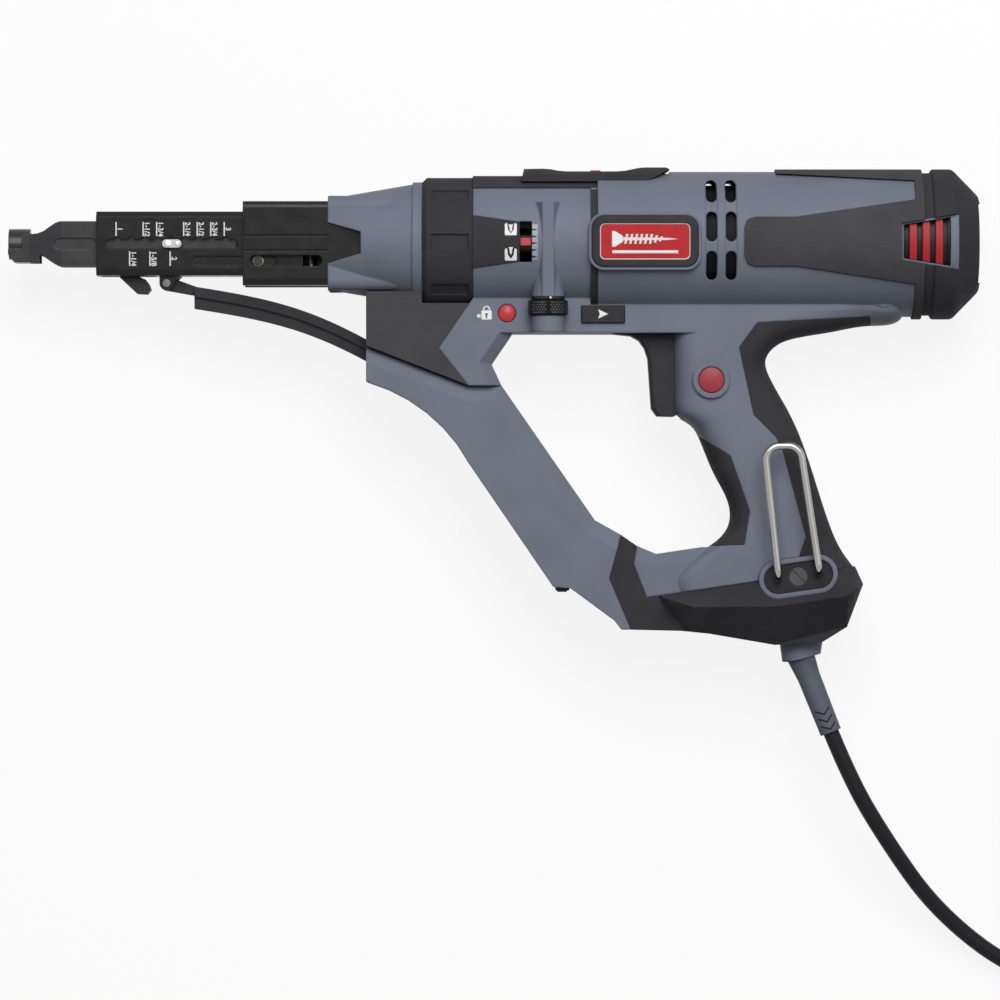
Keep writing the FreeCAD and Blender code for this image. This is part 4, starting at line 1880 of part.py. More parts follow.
def cord_tie():
    """A hook-and-loop band round the bundle on the side of the coil away from the tool."""
    inner = COIL_RADIUS - COIL_PITCH * COIL_TURNS - COIL_PITCH / 4 - CORD_RADIUS - TIE_GAP
    outer = COIL_RADIUS + CORD_RADIUS + TIE_GAP
    low = floor_height() - CORD_RADIUS - TIE_GAP / 2
    high = floor_height() + COIL_RISE + CORD_RADIUS + TIE_GAP
    x, y = COIL_CENTRE
    half = TIE_WIDTH / 2
    block = box(
        x - half, x + half, y + inner - TIE_THICKNESS, y + outer + TIE_THICKNESS,
        low - TIE_THICKNESS, high + TIE_THICKNESS,
    )
    return block.cut(box(x - half - OVERRUN, x + half + OVERRUN, y + inner, y + outer, low, high))


def plug_frame():
    """Where the cord ends, and the plug's length direction."""
    _, _, _, end, heading = coil_path()
    return end + heading * CORD_GAP, heading


def power_plug():
    start, heading = plug_frame()
    neck = Part.makeCylinder(PLUG_NECK_RADIUS, PLUG_NECK + FIT, start, heading)
    block = rounded_block(0, 0, 2 * PLUG_HALF_WIDTH, 2 * PLUG_HALF_HEIGHT, PLUG_CORNER, 0, PLUG_LENGTH)
    block.Placement = FreeCAD.Placement(start + heading * PLUG_NECK, plug_turn())
    return fuse([neck, block] + blade_solids())


def plug_turn():
    """Lays a block along the cord's end, on its narrow side."""
    _, heading = plug_frame()
    across = heading.cross(V(0, 0, 1))
    return FreeCAD.Rotation(V(0, 0, 1), across, heading, "ZYX")


def blade_solids():
    start, heading = plug_frame()
    blades = []
    for side in (-1, 1):
        x = side * BLADE_SPREAD / 2
        blade = box(
            x - BLADE_THICKNESS / 2, x + BLADE_THICKNESS / 2, -BLADE_WIDTH / 2, BLADE_WIDTH / 2,
            PLUG_LENGTH - BLADE_ROOT, PLUG_LENGTH + BLADE_LENGTH,
        )
        blade.Placement = FreeCAD.Placement(start + heading * PLUG_NECK, plug_turn())
        blades.append(blade)
    return blades


CORD_PIECES = ("power_cord", "cord_coil", "cord_tie", "power_plug")


def build():
    shell = housing()
    makers = (
        nosepiece, index_plunger, feed_slide, feed_sprocket, release_lever, strip_guide, strip_guide_pin,
        guide_housing, guide_screw, return_spring, drive_bit, nose_cone, front_overmould, saddle_inlay,
        rear_overmould, rear_cap, vent_bezels, vent_grille, badge_frames, badge_plates,
        grip_overmould, grip_pad,
        base_guard, bracket_channel, trigger, switch_module, lock_button, release_button, direction_slider,
        depth_wheel, depth_indicator, gear_case, gear_plate, spindle, spindle_gear, layshaft, layshaft_gear,
        ball_bearings, motor_shaft, cooling_fan, field_core, armature_core, commutator, brush_holders,
        carbon_brushes, housing_screws, hook_bezel, hook_mount, hook_screw, belt_hook,
        strain_relief, power_cord,
        cord_coil, cord_tie, power_plug,
    )
    pieces = {"housing_left": half_of(shell, 1), "housing_right": half_of(shell, -1)}
    pieces["arm_left"] = arm_half(1)
    pieces["arm_right"] = arm_half(-1)
    for maker in makers:
        pieces[maker.__name__] = maker()
    return pieces


def origin_shift(pieces):
    """From the drive line's frame to the point under the middle of the tool."""
    tool = Part.makeCompound([shape for name, shape in pieces.items() if name not in CORD_PIECES])
    bounds = tool.optimalBoundingBox(False, False)
    return V(-(bounds.XMin + bounds.XMax) / 2, -(bounds.YMin + bounds.YMax) / 2, -bounds.ZMin)


def main():
    pieces = build()
    shift = origin_shift(pieces)
    print("origin shift", round(shift.x, 3), round(shift.y, 3), round(shift.z, 3))
    os.makedirs("parts", exist_ok=True)
    for name, shape in pieces.items():
        solids = shape.Solids
        print(name, len(solids), round(shape.Volume), shape.isValid())
        body = solids[0] if len(solids) == 1 else Part.makeCompound(solids)
        body.translated(shift).exportStep(os.path.join("parts", name + ".step"))


main()
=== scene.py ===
import math

import bmesh
import bpy
from mathutils import Matrix, Vector


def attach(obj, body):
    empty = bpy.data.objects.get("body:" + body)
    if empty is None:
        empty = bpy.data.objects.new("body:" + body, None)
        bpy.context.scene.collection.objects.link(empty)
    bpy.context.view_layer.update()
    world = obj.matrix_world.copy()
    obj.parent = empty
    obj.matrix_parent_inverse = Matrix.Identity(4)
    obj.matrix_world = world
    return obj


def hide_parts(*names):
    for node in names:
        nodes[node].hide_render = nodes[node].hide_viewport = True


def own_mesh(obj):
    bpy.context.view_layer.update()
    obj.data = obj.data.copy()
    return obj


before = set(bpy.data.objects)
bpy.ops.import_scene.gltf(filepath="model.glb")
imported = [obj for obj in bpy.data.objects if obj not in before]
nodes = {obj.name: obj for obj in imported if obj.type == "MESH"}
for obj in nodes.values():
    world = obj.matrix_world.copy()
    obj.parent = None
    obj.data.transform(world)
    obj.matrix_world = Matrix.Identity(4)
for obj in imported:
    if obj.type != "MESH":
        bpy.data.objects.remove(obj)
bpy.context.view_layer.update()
scene = bpy.context.scene

# Frame: tool millimetres, with the drive line at y = z = 0, to metres in the row frame
ORIGIN = Vector((45.45, 97.921, 35.4))
METRE = 1000
PIXEL = 0.472
DRIVE_PIXEL = (590, 244.5)
PHOTO_SIDE = 1000


def spot(x, y, z=0.0):
    """Row place, in metres, of a point in tool millimetres."""
    return (Vector((x, y, z)) + ORIGIN) / METRE


def px(u, v):
    """Tool x and y of a pixel of the photograph."""
    return (u - DRIVE_PIXEL[0]) * PIXEL, (DRIVE_PIXEL[1] - v) * PIXEL


def placed(name, data, body):
    """A new piece that rides on a body."""
    piece = bpy.data.objects.new(name, data)
    scene.collection.objects.link(piece)
    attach(piece, body)
    return piece


def meshed(curve_data):
    """The mesh of a curve or text, which is used up."""
    made = bpy.data.objects.new(curve_data.name, curve_data)
    scene.collection.objects.link(made)
    bpy.context.view_layer.update()
    mesh = bpy.data.meshes.new_from_object(made.evaluated_get(bpy.context.evaluated_depsgraph_get()))
    bpy.data.objects.remove(made)
    return mesh


# Materials: noise scales are per metre in object space, and the noise is used between its low and high end
NOISE_LOW, NOISE_HIGH = 0.3, 0.7
CLOUD_SCALE, CLOUD_DETAIL = 38.0, 4.0
SHEEN_SCALE, SHEEN_DETAIL, SHEEN_CHANGE = 160.0, 3.0, 0.05
TARNISH_SCALE, TARNISH_DETAIL = 55.0, 3.0
BRUSH_SCALE, BRUSH_DETAIL, BRUSH_CHANGE, BRUSH_DEPTH = 900.0, 3.0, 0.07, 0.000008
GRAIN_DETAIL = 2.0
METAL_EDGE = 0.0005
BEVEL_SAMPLES = 4
BLEND_LOW, BLEND_HIGH = 0.45, 0.55
EVEN = (1.0, 1.0, 1.0)


class Paint:
    """A procedural material: tone, roughness and bump come from noise in object space."""

    def __init__(self, name, colour, rough, metallic=0.0, specular=0.5):
        self.material = bpy.data.materials.new(name)
        self.material.use_nodes = True
        self.tree = self.material.node_tree
        self.shader = self.tree.nodes["Principled BSDF"]
        self.shader.inputs["Base Color"].default_value = (*colour, 1)
        self.shader.inputs["Roughness"].default_value = rough
        self.shader.inputs["Metallic"].default_value = metallic
        self.shader.inputs["Specular IOR Level"].default_value = specular
        self.material.diffuse_color = (*colour, 1)
        self.colour = colour
        self.rough = rough
        self.coords = self.tree.nodes.new("ShaderNodeTexCoord").outputs["Object"]
        self.normal = None

    def link(self, out, into):
        self.tree.links.new(out, into)

    def node(self, kind, **settings):
        made = self.tree.nodes.new(kind)
        for key, value in settings.items():
            setattr(made, key, value)
        return made

    def soften(self, radius):
        """Rounds the edges a little where the light meets them."""
        made = self.node("ShaderNodeBevel", samples=BEVEL_SAMPLES)
        made.inputs["Radius"].default_value = radius
        self.normal = made.outputs["Normal"]
        self.link(self.normal, self.shader.inputs["Normal"])

    def noise(self, scale, detail, stretch=None):
        tex = self.node("ShaderNodeTexNoise")
        tex.inputs["Scale"].default_value = scale
        tex.inputs["Detail"].default_value = detail
        source = self.coords
        if stretch:
            mapping = self.node("ShaderNodeMapping")
            mapping.inputs["Scale"].default_value = stretch
            self.link(source, mapping.inputs["Vector"])
            source = mapping.outputs["Vector"]
        self.link(source, tex.inputs["Vector"])
        return tex.outputs["Fac"]

    def spread(self, value, low, high, start=NOISE_LOW, end=NOISE_HIGH):
        """Maps a value from start and end to low and high."""
        ranged = self.node("ShaderNodeMapRange")
        ranged.inputs["From Min"].default_value = start
        ranged.inputs["From Max"].default_value = end
        ranged.inputs["To Min"].default_value = low
        ranged.inputs["To Max"].default_value = high
        self.link(value, ranged.inputs["Value"])
        return ranged.outputs["Result"]

    def ramp(self, value, first, second):
        """Colours the surface by a value: each end is a place and a colour."""
        made = self.node("ShaderNodeValToRGB")
        for element, (place, colour) in zip(made.color_ramp.elements, (first, second)):
            element.position = place
            element.color = (*colour, 1)
        self.link(value, made.inputs["Fac"])
        self.link(made.outputs["Color"], self.shader.inputs["Base Color"])

    def tone(self, value, change):
        """Lightens and darkens the colour by the share change."""
        dark = [c * (1 - change) for c in self.colour]
        light = [c * (1 + change) for c in self.colour]
        self.ramp(value, (NOISE_LOW, dark), (NOISE_HIGH, light))

    def wear(self, value, change):
        """Varies the roughness by change each way."""
        rough = self.spread(value, self.rough - change, self.rough + change)
        self.link(rough, self.shader.inputs["Roughness"])

    def bump(self, value, depth):
        made = self.node("ShaderNodeBump")
        made.inputs["Distance"].default_value = depth
        self.link(value, made.inputs["Height"])
        self.link(self.normal, made.inputs["Normal"])
        self.link(made.outputs["Normal"], self.shader.inputs["Normal"])


def moulded(name, colour, rough, grain=2600.0, depth=0.00003, change=0.06, specular=0.45, edge=0.0007):
    """Plastic or rubber with a moulded grain, faint clouds in its colour and soft edges."""
    paint = Paint(name, colour, rough, 0.0, specular)
    paint.soften(edge)
    paint.tone(paint.noise(CLOUD_SCALE, CLOUD_DETAIL), change)
    paint.wear(paint.noise(SHEEN_SCALE, SHEEN_DETAIL), SHEEN_CHANGE)
    paint.bump(paint.noise(grain, GRAIN_DETAIL), depth)
    return paint


def metal(name, colour, rough, brush=EVEN, change=0.08):
    """Metal with brush marks, which are short along the axes where brush is large."""
    paint = Paint(name, colour, rough, 1.0)
    paint.soften(METAL_EDGE)
    paint.tone(paint.noise(TARNISH_SCALE, TARNISH_DETAIL), change)
    streak = paint.noise(BRUSH_SCALE, BRUSH_DETAIL, brush)
    paint.wear(streak, BRUSH_CHANGE)
    paint.bump(streak, BRUSH_DEPTH)
    return paint


# Plastics: colour, roughness, grain per metre, its depth in metres, change of tone, specular level, and
# the radius of soft edges in metres
shell_grey = moulded("shell_grey", (0.15, 0.168, 0.212), 0.55, specular=0.2, edge=0.0011).material
rubber = moulded("black_rubber", (0.038, 0.037, 0.042), 0.8, 1200.0, 0.0004, 0.14, 0.14).material
panel_rubber = moulded("panel_rubber", (0.06, 0.059, 0.065), 0.8, 1200.0, 0.0004, 0.14, 0.14).material
black_plastic = moulded("black_plastic", (0.025, 0.025, 0.028), 0.55, 2400.0, 0.00003, 0.1, 0.15).material
gloss_black = moulded("gloss_black", (0.014, 0.014, 0.016), 0.26, 3000.0, 0.000006, 0.08, 0.22).material
coated = moulded("black_coat", (0.005, 0.005, 0.006), 0.25, 2200.0, 0.000008, 0.12, 0.2, 0.0008).material
nose_black = moulded(
    "nose_black", (0.012, 0.012, 0.014), 0.28, 2200.0, 0.000006, 0.12, 0.36, 0.0008,
).material
wheel_black = moulded("wheel_black", (0.008, 0.008, 0.009), 0.5, 2400.0, 0.00002, 0.1, 0.1).material
knurl_black = moulded(
    "knurl_black", (0.045, 0.045, 0.048), 0.3, 2400.0, 0.00001, 0.1, 0.4, 0.0001,
).material
red_plastic = moulded("red_plastic", (0.39, 0.028, 0.033), 0.4, 2600.0, 0.00001, 0.08, 0.22).material
bright_red = moulded("bright_red", (0.52, 0.042, 0.045), 0.3, 2600.0, 0.00001, 0.08, 0.3).material
button_red = moulded("button_red", (0.335, 0.043, 0.052), 0.4, 2600.0, 0.00001, 0.08, 0.22).material
badge_red = moulded("badge_red", (0.47, 0.012, 0.017), 0.25, 2600.0, 0.000004, 0.06, 0.2).material
white_plastic = moulded("white_plastic", (0.62, 0.62, 0.58), 0.35, 2600.0, 0.00001, 0.04).material
white_ink = moulded("white_ink", (0.82, 0.82, 0.82), 0.5, 2600.0, 0.000004, 0.03).material
pale_grey = moulded("pale_grey", (0.3, 0.32, 0.37), 0.45).material
carbon = moulded("carbon", (0.03, 0.03, 0.032), 0.6).material
jacket = moulded("cord_jacket", (0.014, 0.014, 0.016), 0.5, 900.0, 0.00004, 0.1, 0.12).material

# Metals: colour, roughness, brush marks along each axis, change of tone
dark_steel = metal("dark_steel", (0.028, 0.028, 0.03), 0.26, (1, 4, 4)).material
steel = metal("steel", (0.5, 0.5, 0.51), 0.3, (1, 6, 6)).material
chrome = metal("hook_wire", (0.33, 0.325, 0.31), 0.09, (3, 1, 3), 0.04).material
screw_grey = metal("screw_grey", (0.06, 0.06, 0.063), 0.3).material
pin_grey = metal("pin_grey", (0.11, 0.11, 0.113), 0.35).material
alloy = metal("cast_alloy", (0.5, 0.51, 0.52), 0.5).material
# near black, far darker than bare steel laminations: painted shade for the dark inside of the motor seen
# through the vents
lamination = metal("lamination", (0.007, 0.007, 0.008), 0.5, (26, 1, 1)).material
copper = metal("copper", (0.72, 0.36, 0.2), 0.34).material

# Paints that change colour at an edge of the piece: places, radii and half of each blend in tool millimetres
GRILLE_RED = (0.4, 0.02, 0.026)
GRILLE_BLACK = (0.008, 0.008, 0.009)
GRILLE_RING = (31.1, 31.5)
BRASS = (0.66, 0.46, 0.2)
SCREW_BLACK = (0.03, 0.03, 0.032)
WASHER_FACE = 13.7
WASHER_BLEND = 0.05
BLADE_STEEL = (0.5, 0.5, 0.5)
PLUG_BLACK = (0.03, 0.03, 0.032)
PLUG_FACE = 217.6
BOOT_GREY = (0.105, 0.118, 0.15)
# the collar's grey is lighter than the shell's: partly its own grey, partly painted light that makes up for
# the base guard's shadow on it
COLLAR_GREY_WITH_PAINTED_LIGHT = (0.2, 0.225, 0.285)
COLLAR_FOOT = -196.0
EDGE_BLEND = 0.2


def two_tone(paint, value, low, high, under, over):
    """One colour below the band from low to high and another above it."""
    paint.ramp(paint.spread(value, 0.0, 1.0, low, high), (BLEND_LOW, under), (BLEND_HIGH, over))
    return paint.material


def split(paint, axis, edge, blend, under, over):
    """Two colours that meet at an edge, a row place along one axis."""
    parts = paint.node("ShaderNodeSeparateXYZ")
    paint.link(paint.coords, parts.inputs["Vector"])
    half = blend / METRE
    return two_tone(paint, parts.outputs[axis], edge - half, edge + half, under, over)


def grille_paint():
    """Red fins that stand on a black ring: the change is at the ring's radius about the drive line."""
    paint = moulded("grille", GRILLE_RED, 0.4, 2600.0, 0.00001, 0.08, 0.15)
    axis = spot(0, 0, 0)
    shift = paint.node("ShaderNodeMapping")
    shift.inputs["Location"].default_value = (0, -axis.y, -axis.z)
    shift.inputs["Scale"].default_value = (0, 1, 1)
    length = paint.node("ShaderNodeVectorMath", operation="LENGTH")
    paint.link(paint.coords, shift.inputs["Vector"])
    paint.link(shift.outputs["Vector"], length.inputs[0])
    low, high = (radius / METRE for radius in GRILLE_RING)
    return two_tone(paint, length.outputs["Value"], low, high, GRILLE_BLACK, GRILLE_RED)


def washer_paint():
    """A brass washer under a black screw head."""
    paint = metal("stop_screw", BRASS, 0.34)
    return split(paint, "Z", spot(0, 0, WASHER_FACE).z, WASHER_BLEND, BRASS, SCREW_BLACK)


def plug_paint():
    """Bare blades at the end of a black plug."""
    paint = moulded("plug", PLUG_BLACK, 0.45, 2000.0, 0.00003, 0.1)
    return split(paint, "X", spot(PLUG_FACE, 0, 0).x, EDGE_BLEND, BLADE_STEEL, PLUG_BLACK)


def relief_paint():
    """A cord boot in a lighter collar, whose grey is raised further as painted light against the shadow that
    the base guard casts on it; the two meet at the collar's lower edge.
    """
    paint = moulded("relief", BOOT_GREY, 0.58, 1500.0, specular=0.2)
    return split(paint, "Y", spot(0, COLLAR_FOOT, 0).y, EDGE_BLEND, BOOT_GREY, COLLAR_GREY_WITH_PAINTED_LIGHT)


FINISH = {
    shell_grey: "housing_left housing_right nose_cone arm_left arm_right vent_bezels hook_bezel",
    relief_paint(): "strain_relief",
    rubber: "front_overmould grip_overmould grip_pad base_guard rear_cap",
    panel_rubber: "rear_overmould bracket_channel",
    black_plastic: "trigger strip_guide badge_frames release_lever cord_tie "
                   "switch_module cooling_fan brush_holders",
    gloss_black: "hook_mount direction_slider",
    # gear_case takes the black coat instead of bare cast alloy: painted shade, so the depth indicator's slot
    # that it shows through looks dark
    coated: "guide_housing feed_slide gear_case",
    wheel_black: "depth_wheel",
    nose_black: "nosepiece",
    dark_steel: "feed_sprocket",
    pin_grey: "strip_guide_pin",
    red_plastic: "saddle_inlay",
    bright_red: "release_button depth_indicator",
    button_red: "lock_button",
    badge_red: "badge_plates",
    grille_paint(): "vent_grille",
    white_plastic: "index_plunger",
    steel: "drive_bit spindle spindle_gear layshaft layshaft_gear motor_shaft ball_bearings housing_screws",
    chrome: "belt_hook",
    screw_grey: "hook_screw",
    washer_paint(): "guide_screw",
    alloy: "gear_plate",
    lamination: "field_core armature_core",
    copper: "commutator",
    carbon: "carbon_brushes",
    plug_paint(): "power_plug",
}
for material, names in FINISH.items():
    for name in names.split():
        slots = nodes[name].data.materials
        slots.clear()
        slots.append(material)


def tube(name, radius, points, bevel_steps, curve_steps):
    """A round tube along one smooth open spline, through control points in tool millimetres."""
    data = bpy.data.curves.new(name, "CURVE")
    data.dimensions = "3D"
    data.bevel_depth = radius / METRE
    data.bevel_resolution = bevel_steps
    data.resolution_u = curve_steps
    data.use_fill_caps = True
    spline = data.splines.new("NURBS")
    spline.points.add(len(points) - 1)
    for point, place in zip(spline.points, points):
        point.co = (*spot(*place), 1)
    spline.order_u = 3
    spline.use_endpoint_u = True
    return data


# Cord: one spline from the boot's socket along the floor and round the coil to the plug
CORD_RADIUS = 3.75
CORD_START = (110.776, -222.901, 0.0)
CORD_ROUTE = (
    (121.9, -250.8, 0.0), (139.8, -281.0, -8.0), (165.0, -316.0, -23.0), (202.0, -345.0, -30.6),
    (251.0, -360.6, -30.6),
)
COIL_CENTRE = (290.0, -301.0)
COIL_RADIUS = 59.6
COIL_PITCH = 8.3
COIL_RISE = 8.3
COIL_LOW = -30.6
COIL_QUARTERS = 14
TURN_POINTS = 16
COIL_LEAD_IN = Vector((-9.7, 0.3, 0.0))
COIL_LEAD_OUT = Vector((-24.0, -1.2, 0.0))
CORD_STEPS = (6, 8)


def coil_points():
    """Two layers that spiral in and out again, and climb in the half turn between them."""
    steps = 2 * COIL_QUARTERS + 2
    middle = COIL_QUARTERS + 1
    count = steps * TURN_POINTS // 4
    swell = 1 / math.cos(math.pi / TURN_POINTS)
    points = []
    for i in range(count + 1):
        quarter = 4 * i / TURN_POINTS
        radius = (COIL_RADIUS - COIL_PITCH * (middle - abs(quarter - middle)) / 4) * swell
        turn = math.pi * quarter / 2 - math.pi / 2
        rise = min(1.0, max(0.0, (quarter - COIL_QUARTERS) / 2))
        layer = rise * rise * (3 - 2 * rise)
        points.append((
            COIL_CENTRE[0] + radius * math.cos(turn), COIL_CENTRE[1] + radius * math.sin(turn),
            COIL_LOW + COIL_RISE * layer,
        ))
    return points


def cord_piece():
    turns = coil_points()
    lead_in = Vector(turns[0]) + COIL_LEAD_IN
    lead_out = Vector(turns[-1]) + COIL_LEAD_OUT
    points = [CORD_START, *CORD_ROUTE, lead_in, *turns, lead_out]
    data = tube("cord", CORD_RADIUS, points, *CORD_STEPS)
    data.materials.append(jacket)
    piece = placed("cord", data, "body")
    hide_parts("power_cord", "cord_coil")


cord_piece()

# Return spring: a helix along the drive line, fixed to the body at one length
SPRING_FRONT, SPRING_BACK = -134.4, -56.1
SPRING_RADIUS = 10.9
SPRING_WIRE = 0.8
SPRING_TURNS = 11
SPRING_POINTS = 16
SPRING_SWELL = 1.019
SPRING_STEPS = (3, 3)


def spring_piece():
    count = SPRING_TURNS * SPRING_POINTS
    radius = SPRING_RADIUS * SPRING_SWELL
    points = []
    for i in range(count + 1):
        turn = 2 * math.pi * i / SPRING_POINTS
        x = SPRING_FRONT + (SPRING_BACK - SPRING_FRONT) * i / count
        points.append((x, radius * math.cos(turn), radius * math.sin(turn)))
    mesh = meshed(tube("spring_curve", SPRING_WIRE, points, *SPRING_STEPS))
    mesh.materials.append(steel)
    for polygon in mesh.polygons:
        polygon.use_smooth = True
    piece = placed("spring", mesh, "body")
    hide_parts("return_spring")
    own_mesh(piece)


spring_piece()


# Outlines in tool millimetres, and the surfaces that they lie on
def flat(height):
    return lambda x, y: height


def barrel(radius):
    return lambda x, y: math.sqrt(radius * radius - y * y)


def rect(x0, y0, x1, y1):
    return [(x0, y0), (x1, y0), (x1, y1), (x0, y1)]


def rounded(x, y, length, height, corner, steps=5):
    """A rectangle about x, y with round corners."""
    points = []
    for i, (sx, sy) in enumerate(((1, 1), (-1, 1), (-1, -1), (1, -1))):
        cx, cy = x + sx * (length / 2 - corner), y + sy * (height / 2 - corner)
        for k in range(steps + 1):
            turn = math.pi / 2 * (i + k / steps)
            points.append((cx + corner * math.cos(turn), cy + corner * math.sin(turn)))
    return points


def frame_quads(outer, inner):
    """The band between two outlines with as many points."""
    count = len(outer)
    return [
        [outer[i], outer[(i + 1) % count], inner[(i + 1) % count], inner[i]] for i in range(count)
    ]


def stroke(start, end, half):
    """A bar from start to just past end, half as wide on each side."""
    way = (Vector(end) - Vector(start)).normalized()
    side = Vector((-way.y, way.x)) * half
    near, far = Vector(start), Vector(end) + way * half
    return [tuple(near - side), tuple(far - side), tuple(far + side), tuple(near + side)]


# Pieces from mesh code
SHEET_DEPTH = 0.12


def built(name, bm, body, material, outward=True):
    """A piece from a mesh in tool millimetres."""
    for vert in bm.verts:
        vert.co = spot(*vert.co)
    if outward:
        bmesh.ops.recalc_face_normals(bm, faces=bm.faces)
    mesh = bpy.data.meshes.new(name)
    bm.to_mesh(mesh)
    bm.free()
    mesh.materials.append(material)
    return placed(name, mesh, body)


def sheet_piece(name, outlines, surface, lift, body, material, cuts=0, near=True):
    """Thin closed plates whose top follows a surface: surface(x, y) gives z in tool millimetres."""
    bm = bmesh.new()
    for outline in outlines:
        bm.faces.new([bm.verts.new((x, y, 0)) for x, y in outline])
    bmesh.ops.triangulate(bm, faces=bm.faces[:])
    for _ in range(cuts):
        bmesh.ops.subdivide_edges(bm, edges=bm.edges[:], cuts=1, use_grid_fill=True)
    side = 1 if near else -1
    for vert in bm.verts:
        x, y = vert.co.x, vert.co.y
        vert.co = (x, y, side * (surface(x, y) + lift))
    bmesh.ops.recalc_face_normals(bm, faces=bm.faces)
    made = bmesh.ops.extrude_face_region(bm, geom=bm.faces[:])
    for vert in [v for v in made["geom"] if isinstance(v, bmesh.types.BMVert)]:
        vert.co.z -= side * SHEET_DEPTH
    return built(name, bm, body, material)


def ink(name, outlines, surface, lift, body, cuts=0, near=True):
    sheet_piece(name, outlines, surface, lift, body, white_ink, cuts, near)


def dark_mark(name, outlines, surface, lift, cuts):
    sheet_piece(name, outlines, surface, lift, "body", gloss_black, cuts)


def grey_mark(name, outlines, surface, lift, material, cuts=0):
    sheet_piece(name, outlines, surface, lift, "body", material, cuts)


def circle(bm, count, place):
    """A ring of points: place(turn) gives each one."""
    return [bm.verts.new(place(2 * math.pi * i / count)) for i in range(count)]


def bridge(bm, first, second):
    """A closed band of faces between two rings."""
    count = len(first)
    for i in range(count):
        j = (i + 1) % count
        bm.faces.new((first[i], first[j], second[j], second[i]))


def block(bm, x_span, y_span, z_span, bevel):
    """A box with bevelled edges."""
    made = bmesh.ops.create_cube(bm, size=1.0)
    spans = (x_span, y_span, z_span)
    for vert in made["verts"]:
        vert.co = [(low + high) / 2 + (high - low) * c for (low, high), c in zip(spans, vert.co)]
    edges = list({e for v in made["verts"] for e in v.link_edges})
    bmesh.ops.bevel(bm, geom=edges, offset=bevel, segments=2, affect="EDGES", profile=0.5)


# Scale of screw lengths on the feed slide: each row has its low and high edge and its marks, in steps
SCALE_START = px(117.9, 0)[0]
SCALE_STEP = 6.35
SCALE_FACE = 13.02
SCALE_ROWS = (
    (3.4, 10.0, (
        (0, "1"), (2, "1-1/2"), (3, "1-3/4"), (5, "2-1/4"), (6, "2-1/2"), (7, "2-3/4"), (8, "3"),
    )),
    (-10.6, -3.8, ((1, "1-1/4"), (2.5, "1-5/8"), (4, "2"))),
)
WORD_HEIGHT = 2.35
WORD_ASIDE = 1.75
WORD_MARGIN = 0.1
WORD_DEPTH = 0.02
FONT_HEIGHT_SHARE = 0.7
STROKE_SHARE = 0.035
WORD_STEPS = 3
TICK_WIDTH = 0.6
TICK_DEPTH = 0.04


def words(text, x, y, most):
    """Mesh of a short text that reads downwards, centred and no longer than most."""
    data = bpy.data.curves.new("words", "FONT")
    data.body = text
    data.align_x = "CENTER"
    data.align_y = "CENTER"
    data.size = WORD_HEIGHT / FONT_HEIGHT_SHARE
    data.offset = WORD_HEIGHT * STROKE_SHARE
    data.extrude = WORD_DEPTH
    data.resolution_u = WORD_STEPS
    mesh = meshed(data)
    wide = max(v.co.x for v in mesh.vertices) - min(v.co.x for v in mesh.vertices)
    narrow = Matrix.Diagonal((min(1.0, most / wide), 1, 1, 1))
    mesh.transform(Matrix.Translation((x, y, 0)) @ Matrix.Rotation(-math.pi / 2, 4, "Z") @ narrow)
    return mesh


def slide_scale():
    """Screw lengths beside the index slot, each with its tick, on the slide's near face."""
    bm = bmesh.new()
    for low, high, marks in SCALE_ROWS:
        middle, length = (low + high) / 2, high - low
        for place, text in marks:
            x = SCALE_START + SCALE_STEP * place
            mesh = words(text, x + WORD_ASIDE, middle, length - WORD_MARGIN)
            bm.from_mesh(mesh)
            bpy.data.meshes.remove(mesh)
            made = bmesh.ops.create_cube(bm, size=1.0)
            for vert in made["verts"]:
                c = vert.co
                vert.co = (x + TICK_WIDTH * c.x, middle + length * c.y, TICK_DEPTH * c.z)
    for vert in bm.verts:
        vert.co.z += SCALE_FACE
    built("slide_scale", bm, "feed_slide", white_ink, outward=False)


# Badge: a plain screw over a bar, with a line round both, on each side
BADGE_FACE = 34.9
BADGE_MIDDLE = 25.2
BADGE_LINE = ((42.2, 17.0, 2.5), (41.3, 16.1, 2.1))
BADGE_BAR = (9.8, -5.6, 40.6, -4.2)
SIGN_PLACE = (BADGE_MIDDLE, 1.1)
SIGN_LENGTH, SIGN_HEIGHT = 31.0, 7.4
HEAD_RIM, HEAD_LENGTH, HEAD_NECK_SHARE = 1.4, 5.2, 0.36
THREADS, THREAD_PITCH, THREAD_SHARE = 9, 2.3, 0.62
THREAD_START, THREAD_LEAN, THREAD_WIDTH = 0.5, 0.9, 1.1
TAPERED_THREADS, TAPER_SHARE = 3, 0.25
CORE_SHARES = (0.2, 0.14)
LINE_LIFT, SIGN_LIFT, CORE_LIFT, BAR_LIFT = 0.06, 0.09, 0.05, 0.05


def screw_sign():
    """A plain drywall screw: bugle head and threads, and the core that they stand on."""
    x, y = SIGN_PLACE
    half = SIGN_HEIGHT / 2
    left, right = x - SIGN_LENGTH / 2, x + SIGN_LENGTH / 2
    neck = left + HEAD_LENGTH
    tip = neck + THREADS * THREAD_PITCH
    threads = [[
        (left, y - half), (left + HEAD_RIM, y - half), (neck, y - half * HEAD_NECK_SHARE),
        (neck, y + half * HEAD_NECK_SHARE), (left + HEAD_RIM, y + half), (left, y + half),
    ]]
    for i in range(THREADS):
        foot = neck + THREAD_START + i * THREAD_PITCH
        shrink = 1.0 - TAPER_SHARE * max(0, i - THREADS + TAPERED_THREADS + 1)
        tall = half * THREAD_SHARE * shrink
        top = foot + THREAD_LEAN
        threads.append([
            (foot, y - tall), (foot + THREAD_WIDTH, y - tall),
            (top + THREAD_WIDTH, y + tall), (top, y + tall),
        ])
    thick, thin = (half * share for share in CORE_SHARES)
    core = [(neck, y - thick), (tip, y - thin), (right, y), (tip, y + thin), (neck, y + thick)]
    return threads, [core]


